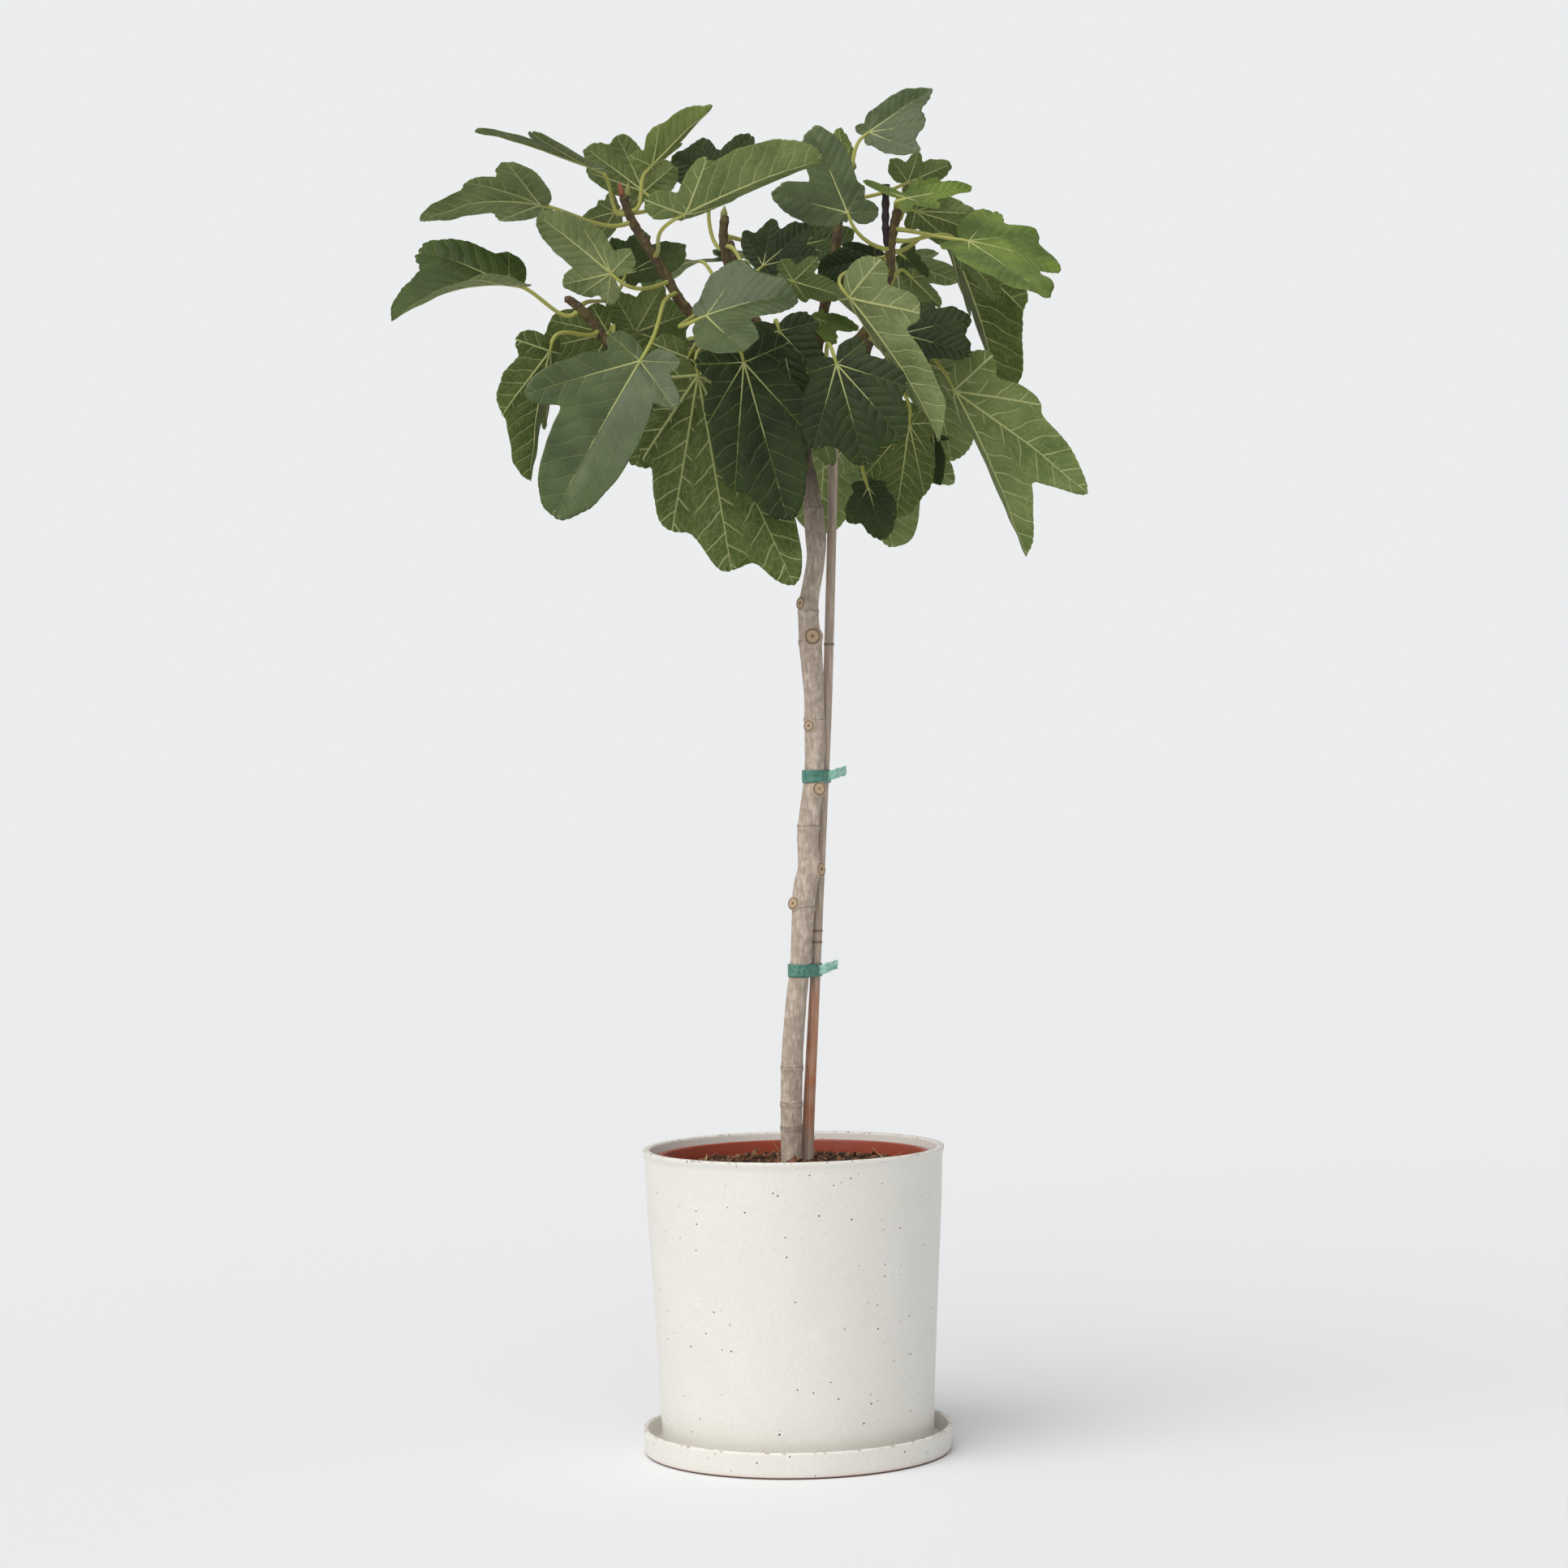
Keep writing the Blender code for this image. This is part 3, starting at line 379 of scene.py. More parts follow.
# %% Planter
lip_foot = planter_top - PLANTER_LIP
inner_floor = planter_foot + PLANTER_BASE
levels = [planter_foot + PLANTER_HEIGHT * share for share in (0.2, 0.4, 0.6, 0.8)]
outline = [
    (PLANTER_DRAIN_RADIUS, planter_foot),
    (PLANTER_FOOT_RADIUS, planter_foot),
    *[(planter_radius(height), height) for height in levels],
    (planter_radius(lip_foot) - 0.0013, lip_foot),
    (PLANTER_RIM_RADIUS, planter_top - PLANTER_LIP * 0.4),
    (PLANTER_RIM_RADIUS, planter_top),
    (PLANTER_RIM_RADIUS - PLANTER_WALL, planter_top),
    *[(planter_radius(height) - PLANTER_WALL, height) for height in reversed(levels)],
    (planter_radius(inner_floor) - PLANTER_WALL, inner_floor),
    (PLANTER_DRAIN_RADIUS, inner_floor),
]
planter = turned("planter_pot", rounded(outline, 0.0026), planter_glaze)
show(planter, "planter_glaze", "planter")

# %% [markdown]
# ## Nursery pot
# The tree still stands in its grower's pot, moulded from terracotta-coloured polypropylene, about two
# millimetres thick with a rolled rim. Such plastic has a satin shine and fine scuffs, so its roughness
# varies a little.

# %% Nursery pot
def moulded_polypropylene():
    """Terracotta-coloured plastic with a faint haze and fine scuffs."""
    material, tree, shader = new_material("polypropylene_terracotta", 0.38)
    place = add(tree, "TexCoord", out=3)
    haze = add(tree, "TexNoise", sockets={"Vector": place, "Scale": 1 / 0.02, "Detail": 3.0})
    colour = add(tree, "MixRGB", haze, "#8f3820", "#a5482c")
    scuffs = add(tree, "TexNoise", sockets={"Vector": place, "Scale": 1 / 0.0015, "Detail": 2.0})
    rough = add(tree, "MapRange", scuffs, 0.3, 0.7, 0.32, 0.5)
    tree.links.new(rough, shader.inputs["Roughness"])
    finish_skin(tree, shader, colour, scuffs, 0.0001, 0.3)
    return material


def nursery_radius(height):
    """Outer radius of the nursery pot's straight wall, under its rim band."""
    foot = planter_radius(nursery_foot) - PLANTER_WALL - NURSERY_FOOT_GAP
    rim = planter_radius(nursery_top) - PLANTER_WALL - NURSERY_RIM_GAP - NURSERY_RIM_BAND
    return foot + (rim - foot) * (height - nursery_foot) / (nursery_top - nursery_foot)


band = NURSERY_RIM_BAND
band_foot = nursery_top - 2.5 * band
nursery_rim = nursery_radius(nursery_top) + band
nursery_floor = nursery_foot + NURSERY_WALL
outline = [
    (NURSERY_DRAIN_RADIUS, nursery_foot),
    (nursery_radius(nursery_foot), nursery_foot),
    (nursery_radius(band_foot), band_foot),
    (nursery_rim, band_foot + band / 2),
    (nursery_rim, nursery_top),
    (nursery_radius(nursery_top) - NURSERY_WALL + 0.0005, nursery_top),
    (nursery_radius(band_foot) - NURSERY_WALL, band_foot),
    (nursery_radius(nursery_floor) - NURSERY_WALL, nursery_floor),
    (NURSERY_DRAIN_RADIUS, nursery_floor),
]
nursery_pot = turned("grower_pot", rounded(outline, 0.0016), moulded_polypropylene(), 128)
show(nursery_pot, "nursery_plastic", "nursery_pot")

# %% [markdown]
# ## Soil
# Peat mix is dark, crumbly and never flat. Its surface is a disc of rings, raised by the CAD model's soft
# lumps and by finer noise. Bark chips, clods, fibres and a few dry straws are scattered over it as small
# solids, half sunk. Each kind is joined into one mesh.

# %% Peat
def crumbly(name, dark, light, grain, rough=0.95):
    """Loose matter of mixed browns; grain is the size of a crumb in metres."""
    material, tree, shader = new_material(name, rough)
    place = add(tree, "TexCoord", out=3)
    crumbs = add(tree, "TexNoise", sockets={"Vector": place, "Scale": 1 / grain, "Detail": 4.0})
    mixed = add(tree, "MapRange", crumbs, 0.35, 0.65, 0.0, 1.0)
    colour = add(tree, "MixRGB", mixed, dark, light)
    finish_skin(tree, shader, colour, crumbs, grain / 3, 0.8)
    return material


peat = crumbly("peat_crumbs", "#2a1a12", "#5b3f2c", 0.004)
bark_chip = crumbly("composted_bark", "#4f3220", "#9c6a45", 0.003, 0.8)
straw = crumbly("dry_straw", "#a98a5c", "#cdb58a", 0.002, 0.6)
print("soil materials:", peat.name, bark_chip.name, straw.name)

# %% Soil surface
def soil_lift(x, y):
    """How far the soil stands over its level, in soft lumps that fade out at the pot's wall."""
    edge = nursery_radius(soil_top) - NURSERY_WALL
    fade = 1 - min(math.hypot(x, y) / edge, 1) ** 4
    lumps = math.sin(61 * x + 1.3) * math.cos(53 * y + 0.4) + 0.6 * math.sin(117 * x - 83 * y)
    return SOIL_LUMP * fade * (lumps + 0.5)


def soil_height(x, y):
    """Height of the soil's surface, with its crumbs."""
    crumbs = noise.noise(Vector((x, y, 0)) * 130) * 0.0016 + noise.noise(Vector((x, y, 3)) * 330) * 0.0009
    return soil_top + soil_lift(x, y) + crumbs


edge = nursery_radius(soil_top) - NURSERY_WALL - CLEARANCE
soil_foot = nursery_foot + NURSERY_WALL + CLEARANCE
foot_edge = nursery_radius(soil_foot) - NURSERY_WALL - CLEARANCE
rings = 70
sectors = 180
points = [(0, 0, soil_height(0, 0))]
faces = []
for ring in range(1, rings + 1):
    for sector in range(sectors):
        x = edge * ring / rings * math.cos(TURN * sector / sectors)
        y = edge * ring / rings * math.sin(TURN * sector / sectors)
        points.append((x, y, soil_height(x, y)))
for sector in range(sectors):
    angle = TURN * sector / sectors
    points.append((foot_edge * math.cos(angle), foot_edge * math.sin(angle), soil_foot))
for sector in range(sectors):
    over = (sector + 1) % sectors
    faces.append((0, 1 + sector, 1 + over))
    for ring in range(rings):
        low = 1 + ring * sectors
        faces.append((low + sector, low + sectors + sector, low + sectors + over, low + over))
faces.append([1 + rings * sectors + sector for sector in range(sectors)])
soil = new_object("peat_mix", points, faces, peat)
face_out(soil)
show(soil, "peat_soil", "soil")

# %% Chips, fibres and straws
def scatter(name, count, material, shape, seed, spread=0.93):
    """Small solids on the soil, turned and sized by chance. Shape is length, width and thickness."""
    chance = random.Random(seed)
    points = []
    faces = []
    for _ in range(count):
        radius = edge * spread * math.sqrt(chance.random())
        angle = chance.uniform(0, TURN)
        x, y = radius * math.cos(angle), radius * math.sin(angle)
        length, width, thick = [size * chance.uniform(0.5, 1.3) for size in shape]
        yaw, pitch = chance.uniform(0, TURN), chance.gauss(0, 0.35)
        ahead = Vector((math.cos(yaw) * math.cos(pitch), math.sin(yaw) * math.cos(pitch), math.sin(pitch)))
        side = ahead.cross(Vector((0, 0, 1))).normalized()
        up = side.cross(ahead)
        middle = Vector((x, y, soil_height(x, y) + thick * 0.3))
        curl = chance.uniform(-0.25, 0.25) * length
        start = len(points)
        sections = 5
        for section in range(sections):
            share = section / (sections - 1) * 2 - 1
            taper = 1 - 0.55 * share * share
            centre = middle + ahead * (share * length / 2) + (side + up) * (curl * share * share)
            for across, rise in ((-1, -1), (1, -0.7), (0.8, 1), (-0.9, 0.8)):
                jitter = 1 + chance.uniform(-0.25, 0.25)
                points.append(centre + (side * across * width + up * rise * thick) * (taper * jitter / 2))
        for section in range(sections - 1):
            low = start + 4 * section
            for corner in range(4):
                over = (corner + 1) % 4
                faces.append((low + corner, low + over, low + 4 + over, low + 4 + corner))
        faces.append((start, start + 1, start + 2, start + 3))
        faces.append([len(points) - 4 + corner for corner in range(4)])
    obj = new_object(name, points, faces, material)
    obj.data.polygons.foreach_set("use_smooth", [False] * len(obj.data.polygons))
    face_out(obj)
    return show(obj, "peat_soil", "soil")


scatter("bark_chips", 420, bark_chip, (0.012, 0.006, 0.003), 3)
scatter("peat_clods", 900, peat, (0.005, 0.004, 0.003), 5)
scatter("peat_fibres", 260, bark_chip, (0.016, 0.0007, 0.0006), 7)
scatter("straws", 22, straw, (0.030, 0.0011, 0.0006), 11, 0.9)

# %% [markdown]
# ## Stem
# A fig's bark is smooth and grey, with a ring round it at each old leaf scar and a knot where a twig was
# cut. A plain tube would look turned, so the line is smoothed through the CAD model's points and its girth
# changes on the way. Stem and twigs are closed tubes that overlap; a voxel remesh joins them into one skin,
# with soft forks as in wood that grew.

# %% Stem lines
TRUNK_RADIUS = 0.0105
TWIG_RADIUS = 0.0065
TWIG_TIP_RADIUS = 0.0048
CANE_RADIUS = 0.0055
CANE_SIDE = 0.010

# The stem's middle line, as x and height over the soil, and its girth as a share of TRUNK_RADIUS.
TRUNK_LINE = (
    (-0.002, 0.007, 1.02),
    (0.000, 0.100, 1.05),
    (0.005, 0.163, 1.02),
    (0.010, 0.204, 0.97),
    (0.016, 0.278, 1.14),
    (0.021, 0.302, 1.10),
    (0.020, 0.331, 1.05),
    (0.023, 0.360, 1.02),
    (0.028, 0.401, 0.98),
    (0.029, 0.466, 0.98),
    (0.028, 0.499, 1.02),
    (0.026, 0.532, 1.10),
    (0.025, 0.568, 0.95),
    (0.033, 0.614, 0.90),
    (0.033, 0.647, 1.02),
    (0.029, 0.688, 0.82),
    (0.023, 0.721, 0.74),
    (0.027, 0.762, 0.67),
    (0.032, 0.795, 0.62),
)

# The cane's middle line, as x and height over the soil.
CANE_LINE = (
    (0.014, 0.007),
    (0.026, 0.203),
    (0.036, 0.365),
    (0.043, 0.482),
    (0.053, 0.716),
    (0.056, 0.800),
)

# Each twig's middle line from the stem out, with heights over the soil.
TWIG_LINES = {
    "left": (
        (0.032, 0.000, 0.787),
        (-0.025, -0.020, 0.818),
        (-0.089, -0.030, 0.863),
        (-0.117, -0.030, 0.908),
        (-0.141, -0.030, 0.947),
        (-0.149, -0.030, 0.964),
        (-0.154, -0.030, 0.982),
    ),
    "lower_left": (
        (0.023, 0.000, 0.725),
        (-0.034, -0.020, 0.749),
        (-0.092, -0.040, 0.778),
        (-0.162, -0.060, 0.822),
        (-0.189, -0.070, 0.855),
        (-0.208, -0.075, 0.872),
    ),
    "middle": (
        (0.030, 0.000, 0.778),
        (-0.009, 0.015, 0.822),
        (-0.037, 0.020, 0.873),
        (-0.054, 0.020, 0.935),
        (-0.053, 0.020, 0.968),
    ),
    "right": (
        (0.032, 0.000, 0.774),
        (0.069, -0.010, 0.824),
        (0.090, -0.015, 0.847),
        (0.111, -0.020, 0.897),
        (0.114, -0.020, 0.930),
        (0.122, -0.020, 0.966),
    ),
    "top": (
        (0.032, 0.000, 0.790),
        (0.043, 0.030, 0.856),
        (0.060, 0.040, 0.940),
        (0.066, 0.040, 1.011),
    ),
    "rear_left": (
        (0.030, 0.000, 0.765),
        (0.000, 0.060, 0.825),
        (-0.035, 0.110, 0.895),
        (-0.050, 0.140, 0.960),
    ),
    "rear_right": (
        (0.030, 0.000, 0.755),
        (0.070, 0.060, 0.795),
        (0.100, 0.110, 0.865),
        (0.110, 0.140, 0.930),
    ),
}
# A dead twig, broken off, beside the right twig's tip.
DEAD_STUB = ((0.113, -0.020, 0.920), (0.109, -0.021, 0.942), (0.110, -0.021, 0.989))
DEAD_STUB_RADIUS = 0.0036
print("stem", len(TRUNK_LINE), "points,", len(TWIG_LINES), "twigs")

# %% [markdown]
# ## Soft lines and tubes
# A line gets its soft shape from a curve that is led through the few points above. A tube follows a line,
# with a girth of its own at each point and with as little twist as possible.

# %% Soft lines and tubes
def over_soil(point):
    """A point whose height was given over the soil."""
    return Vector((point[0], point[1], point[2] + soil_top))


def smooth_line(points, step):
    """Points every step along a soft curve through the given ones. Further numbers are carried along."""
    fine = []
    for index in range(len(points) - 1):
        a = points[max(index - 1, 0)]
        b, c = points[index], points[index + 1]
        d = points[min(index + 2, len(points) - 1)]
        pieces = max(2, round(math.dist(b[:3], c[:3]) / step))
        for piece in range(pieces):
            t = piece / pieces
            weights = (
                (-t + 2 * t * t - t**3) / 2,
                (2 - 5 * t * t + 3 * t**3) / 2,
                (t + 4 * t * t - 3 * t**3) / 2,
                (t**3 - t * t) / 2,
            )
            fine.append([sum(w * p[k] for w, p in zip(weights, (a, b, c, d))) for k in range(len(b))])
    fine.append(list(points[-1]))
    return fine


def line_frames(points):
    """Direction, side and up at each point of a line, turned as little as possible from one to the next."""
    frames = []
    side = None
    for index, point in enumerate(points):
        along = (points[min(index + 1, len(points) - 1)] - points[max(index - 1, 0)]).normalized()
        if side is None:
            side = along.orthogonal()
        side = (side - along * side.dot(along)).normalized()
        frames.append((along, side, along.cross(side)))
    return frames


def tube(points, radii, sides):
    """Points and faces of a closed tube with one radius for each point of its line."""
    points = [Vector(point) for point in points]
    rings = []
    for point, radius, (_, side, up) in zip(points, radii, line_frames(points)):
        for step in range(sides):
            angle = TURN * step / sides
            rings.append(point + (side * math.cos(angle) + up * math.sin(angle)) * radius)
    faces = [tuple(range(sides)), tuple(range(len(rings) - sides, len(rings)))]
    for start in range(0, len(rings) - sides, sides):
        for step in range(sides):
            over = (step + 1) % sides
            faces.append((start + step, start + over, start + sides + over, start + sides + step))
    return rings, faces


print("a metre in steps of 10 cm has", len(smooth_line([(0, 0, 0), (0, 0, 1)], 0.1)), "points")

# %% [markdown]
# ## Rings and knots
# Each leaf that fell has left a ring, where the bark swells by about a millimetre. Each twig that was cut
# has left a knot, a short stump that the bark has closed round.

# %% Rings and knots
# Heights over the soil of the rings at old leaf scars.
NODE_RINGS = (0.040, 0.064, 0.1005, 0.262, 0.344, 0.452, 0.531, 0.562, 0.666, 0.700)
# Each knot: its x and height over the soil, the way it looks, and its radius.
KNOTS = (
    ((0.0105, 0.266), (-0.55, -0.84), 0.0068),
    ((0.0240, 0.300), (0.78, -0.62), 0.0076),
    ((0.0290, 0.381), (0.30, -0.95), 0.0080),
    ((0.0285, 0.445), (-0.45, -0.89), 0.0064),
    ((0.0280, 0.535), (0.05, -1.00), 0.0098),
    ((0.0250, 0.569), (-0.70, -0.71), 0.0068),
    ((0.0330, 0.640), (0.30, 0.95), 0.0055),
    ((0.0220, 0.330), (-0.20, 0.98), 0.0050),
)


def knot_way(out_x, out_y):
    """The direction a knot looks in, tilted up a little."""
    return Vector((out_x, out_y, 0.12)).normalized()


def ring_swell(height, places, reach=0.0022, rise=0.0011):
    """How much wider the bark is at this height because of the rings near it."""
    return sum(rise * math.exp(-(((height - place) / reach) ** 2)) for place in places)


print(len(NODE_RINGS), "rings,", len(KNOTS), "knots")

# %% [markdown]
# ## Stem and twigs
# The parts of the stem are gathered as tubes: the trunk, then each twig with close rings of its own, then
# the stumps of the knots. They overlap where they meet.

# %% Stem and twigs
points = []
faces = []


def add_part(part):
    """Adds a tube to the stem's points and faces."""
    start = len(points)
    points.extend(part[0])
    faces.extend([[start + corner for corner in face] for face in part[1]])


base_x, _, base_girth = TRUNK_LINE[0]
rough_line = [(base_x, 0, -ROOTED_DEPTH, base_girth)]
rough_line += [(x, 0, height, girth) for x, height, girth in TRUNK_LINE]
line = smooth_line(rough_line, 0.0025)
radii = []
for _, _, height, girth in line:
    uneven = 0.0005 * noise.noise(Vector((0, 0, height * 45)))
    radii.append(TRUNK_RADIUS * girth + uneven + ring_swell(height, NODE_RINGS))
add_part(tube([over_soil(point) for point in line], radii, 32))

for name, twig_line in TWIG_LINES.items():
    line = smooth_line(twig_line, 0.002)
    length = sum(math.dist(a, b) for a, b in zip(line, line[1:]))
    chance = random.Random(name)
    rings = []
    place = 0.03
    while place < length - 0.004:
        rings.append(place)
        place += chance.uniform(0.009, 0.022) * (1.25 - 0.6 * place / length)
    radii = []
    run = 0
    before = line[0]
    for point in line:
        run += math.dist(before, point)
        before = point
        taper = TWIG_RADIUS + (TWIG_TIP_RADIUS - TWIG_RADIUS) * run / length
        radii.append(taper - 0.0003 + ring_swell(run, rings, 0.0016, 0.0009))
    radii[-1] *= 0.6
    add_part(tube([over_soil(point) for point in line], radii, 20))

for (x, height), (out_x, out_y), size in KNOTS:
    core = over_soil((x, 0, height))
    out = knot_way(out_x, out_y)
    middles = [core + out * 0.004]
    middles += [core + out * (TRUNK_RADIUS + rise) for rise in (-0.001, 0.0012, 0.0022, 0.0008)]
    widths = [size * share for share in (0.9, 1.15, 1.0, 0.7, 0.25)]
    add_part(tube(middles, widths, 20))

print("stem parts:", len(points), "points")

# %% [markdown]
# ## One skin
# A voxel remesh turns the overlapping tubes into one closed skin, and a little smoothing softens the forks.

# %% One skin
skin = new_object("skin", points, faces)
face_out(skin)
remesh = skin.modifiers.new("join", "REMESH")
remesh.mode = "VOXEL"
remesh.voxel_size = 0.0013
soften = skin.modifiers.new("soften", "SMOOTH")
soften.factor = 0.5
soften.iterations = 3
shape = skin.evaluated_get(bpy.context.evaluated_depsgraph_get())
mesh = bpy.data.meshes.new_from_object(shape)
bpy.data.objects.remove(skin)
stem = bpy.data.objects.new("fig_stem", mesh)
bpy.context.scene.collection.objects.link(stem)
mesh.polygons.foreach_set("use_smooth", [True] * len(mesh.polygons))
print("stem skin:", len(mesh.vertices), "points")

# %% [markdown]
# ## Fig bark
# Old bark is pale grey-beige with thin upright cracks and small corky dots. Up the stem it turns brown, and
# the young twigs are olive to dark brown. A knot has a pale rim, a dark groove, tan wood and a dark heart.
# The shader measures how far each spot lies from the knots' own places, and colours it by that.

# %% Fig bark
SWAY = 0.005
# A knot's rings from outside in: full and gone at these shares of its radius, how strong, and colour.
KNOT_RINGS = (
    (1.45, 1.6, 0.7, "#b9a692"),
    (1.05, 1.15, 0.8, "#6a5444"),
    (0.85, 0.95, 0.95, "#bda383"),
    (0.36, 0.5, 0.85, "#5a4230"),
)


def fig_bark():
    """Grey bark that turns to brown twigs, with scar lines, corky dots and knots."""
    material, tree, shader = new_material("fig_bark", 0.82)
    place = add(tree, "TexCoord", out=3)
    height = add(tree, "SeparateXYZ", place, out=2)

    tall = add(tree, "Mapping", place, sockets={"Scale": (1.0, 1.0, 0.22)})
    streaks = add(tree, "TexNoise", sockets={"Vector": tall, "Scale": 1 / 0.0028, "Detail": 4.0})
    streaks = add(tree, "MapRange", streaks, 0.30, 0.60, 0.0, 1.0)
    patches = add(tree, "TexNoise", sockets={"Vector": place, "Scale": 1 / 0.007, "Detail": 5.0})
    patches = add(tree, "MapRange", patches, 0.38, 0.64, 0.0, 1.0)
    old = add(tree, "MixRGB", patches, "#ad9d8e", "#d0c1b1")
    old = add(tree, "MixRGB", streaks, "#a39283", old)
    sockets = {"Vector": tall, "Scale": 1 / 0.0022}
    cracks = add(tree, "TexVoronoi", sockets=sockets, feature="DISTANCE_TO_EDGE")
    cracks = add(tree, "MapRange", cracks, 0.0, 0.07, 0.2, 0.0)
    old = add(tree, "MixRGB", cracks, old, "#5b4c40")

    young = add(tree, "MixRGB", streaks, "#3a2f1b", "#6a5c30")
    young = add(tree, "MixRGB", patches, "#4b3a28", young)
    upper = add(tree, "MixRGB", streaks, "#40332b", "#66574b")
    to_upper = add(tree, "MapRange", height, soil_top + 0.60, soil_top + 0.72, 0.0, 1.0)
    to_young = add(tree, "MapRange", height, soil_top + 0.74, soil_top + 0.84, 0.0, 1.0)
    colour = add(tree, "MixRGB", to_upper, old, upper)
    colour = add(tree, "MixRGB", to_young, colour, young)

    sway = add(tree, "TexNoise", sockets={"Vector": place, "Scale": 1 / 0.012, "Detail": 2.0})
    swayed = add(tree, "Math", sway, SWAY, height, operation="MULTIPLY_ADD")
    for ring in NODE_RINGS:
        off = add(tree, "Math", swayed, soil_top + ring + SWAY / 2 + 0.0012, operation="SUBTRACT")
        off = add(tree, "Math", off, operation="ABSOLUTE")
        scar = add(tree, "MapRange", off, 0.0002, 0.0014, 0.45, 0.0)
        colour = add(tree, "MixRGB", scar, colour, "#4f4035")

    dots = add(tree, "TexVoronoi", sockets={"Vector": place, "Scale": 1 / 0.007})
    dots = add(tree, "MapRange", dots, 0.06, 0.12, 0.5, 0.0)
    colour = add(tree, "MixRGB", dots, colour, "#c2b6a2")

    relief = add(tree, "Math", streaks, cracks, operation="SUBTRACT")
    for (x, level), (out_x, out_y), size in KNOTS:
        centre = over_soil((x, 0, level)) + knot_way(out_x, out_y) * (TRUNK_RADIUS + 0.002)
        away = add(tree, "VectorMath", place, tuple(centre), out=1, operation="DISTANCE")
        away = add(tree, "Math", sway, size * 0.5, away, operation="MULTIPLY_ADD")
        for full, gone, strength, tone in KNOT_RINGS:
            ring = add(tree, "MapRange", away, size * full, size * gone, strength, 0.0)
            colour = add(tree, "MixRGB", ring, colour, tone)
        relief = add(tree, "Math", relief, ring, operation="SUBTRACT")

    finish_skin(tree, shader, colour, relief, 0.0007, 0.75)
    return material


mesh.materials.append(fig_bark())
show(stem, "fig_bark", "trunk")

# %% [markdown]
# ## Dead stub and buds
# A broken twig beside the right tip has dried almost black, so it gets its own wood. Each growing tip ends
# in a pointed bud, wrapped in one leaf-like scale that may be green, red or brown.

# %% Dead stub and buds
def plain_growth(name, base, tip_colour, low, high, rough):
    """A plant skin that turns from one colour to another between two heights, with fine grain."""
    material, tree, shader = new_material(name, rough, Subsurface_Weight=0.05)
    place = add(tree, "TexCoord", out=3)
    height = add(tree, "SeparateXYZ", place, out=2)
    share = add(tree, "MapRange", height, low, high, 0.0, 1.0)
    colour = add(tree, "MixRGB", share, base, tip_colour)
    grain = add(tree, "TexNoise", sockets={"Vector": place, "Scale": 1 / 0.0012, "Detail": 2.0})
    worn = add(tree, "MapRange", grain, 0.45, 0.75, 0.0, 0.4)
    colour = add(tree, "MixRGB", worn, colour, base)
    finish_skin(tree, shader, colour, grain, 0.0003, 0.5)
    return material


line = smooth_line(DEAD_STUB, 0.002)
steps = len(line) - 1
girths = [0.95 + 0.12 * math.sin(step * 1.1) + 0.15 * step / steps for step in range(steps)]
radii = [DEAD_STUB_RADIUS * girth for girth in (*girths, 1.25)]
points, faces = tube([over_soil(point) for point in line], radii, 16)
dead_wood = plain_growth("dead_wood", "#1d1413", "#2c2020", 1.2, 1.26, 0.7)
stub = new_object("dead_stub", points, faces, dead_wood)
face_out(stub)
show(stub, "fig_bark", "trunk")

red_bud = plain_growth("bud_scale_red", "#6d3f2a", "#99603f", 1.1, 1.3, 0.55)
brown_bud = plain_growth("bud_scale_brown", "#4a3522", "#5f4a2c", 1.1, 1.3, 0.6)
green_bud = plain_growth("bud_scale_green", "#6f7a3c", "#8b8f4f", 1.1, 1.3, 0.5)


def make_bud(name, start, towards, length, radius, material):
    """A pointed bud, bent a little to the side."""
    start, towards = over_soil(start), Vector(towards).normalized()
    shares = (0, 0.12, 0.3, 0.5, 0.7, 0.86, 0.96, 1)
    widths = (0.8, 1.05, 1.1, 0.9, 0.6, 0.32, 0.12, 0.02)
    bend = Vector((0.12, 0, 0)) * length
    line = [start + towards * (length * share) + bend * share * share for share in shares]
    points, faces = tube(line, [radius * width for width in widths], 14)
    bud = new_object(name, points, faces, material)
    face_out(bud)
    return show(bud, "fig_bark", "trunk")


for name, twig, length, radius, material in (
    ("bud_left_red", "left", 0.017, 0.0032, red_bud),
    ("bud_left_green", "left", 0.014, 0.0030, green_bud),
    ("bud_lower_left", "lower_left", 0.006, 0.0040, brown_bud),
    ("bud_middle", "middle", 0.012, 0.0034, green_bud),
    ("bud_right", "right", 0.019, 0.0036, green_bud),
    ("bud_top", "top", 0.017, 0.0034, red_bud),
    ("bud_rear_left", "rear_left", 0.014, 0.0034, green_bud),
    ("bud_rear_right", "rear_right", 0.014, 0.0034, red_bud),
):
    end = Vector(TWIG_LINES[twig][-1])
    way = (end - Vector(TWIG_LINES[twig][-2])).normalized()
    aside = Vector((0.004, -0.002, 0)) if name == "bud_left_green" else Vector((-0.001, 0, 0))
    make_bud(name, end - way * 0.002 + aside, way + aside * 60, length, radius, material)

# %% [markdown]
# ## Cane
# The stake is a thin bamboo cane: a hollow grass stem with a hard, smooth skin, a raised ring at each node
# and fine streaks that run its whole length. Its skin has weathered to grey-tan at the top, and is still
# orange-brown lower down.

# %% Cane
CANE_NODES = (0.2270, 0.2385, 0.5290, 0.7400)
CANE_GIRTHS = (1.15, 1.15, 0.95, 0.9, 0.88, 0.85, 0.8)


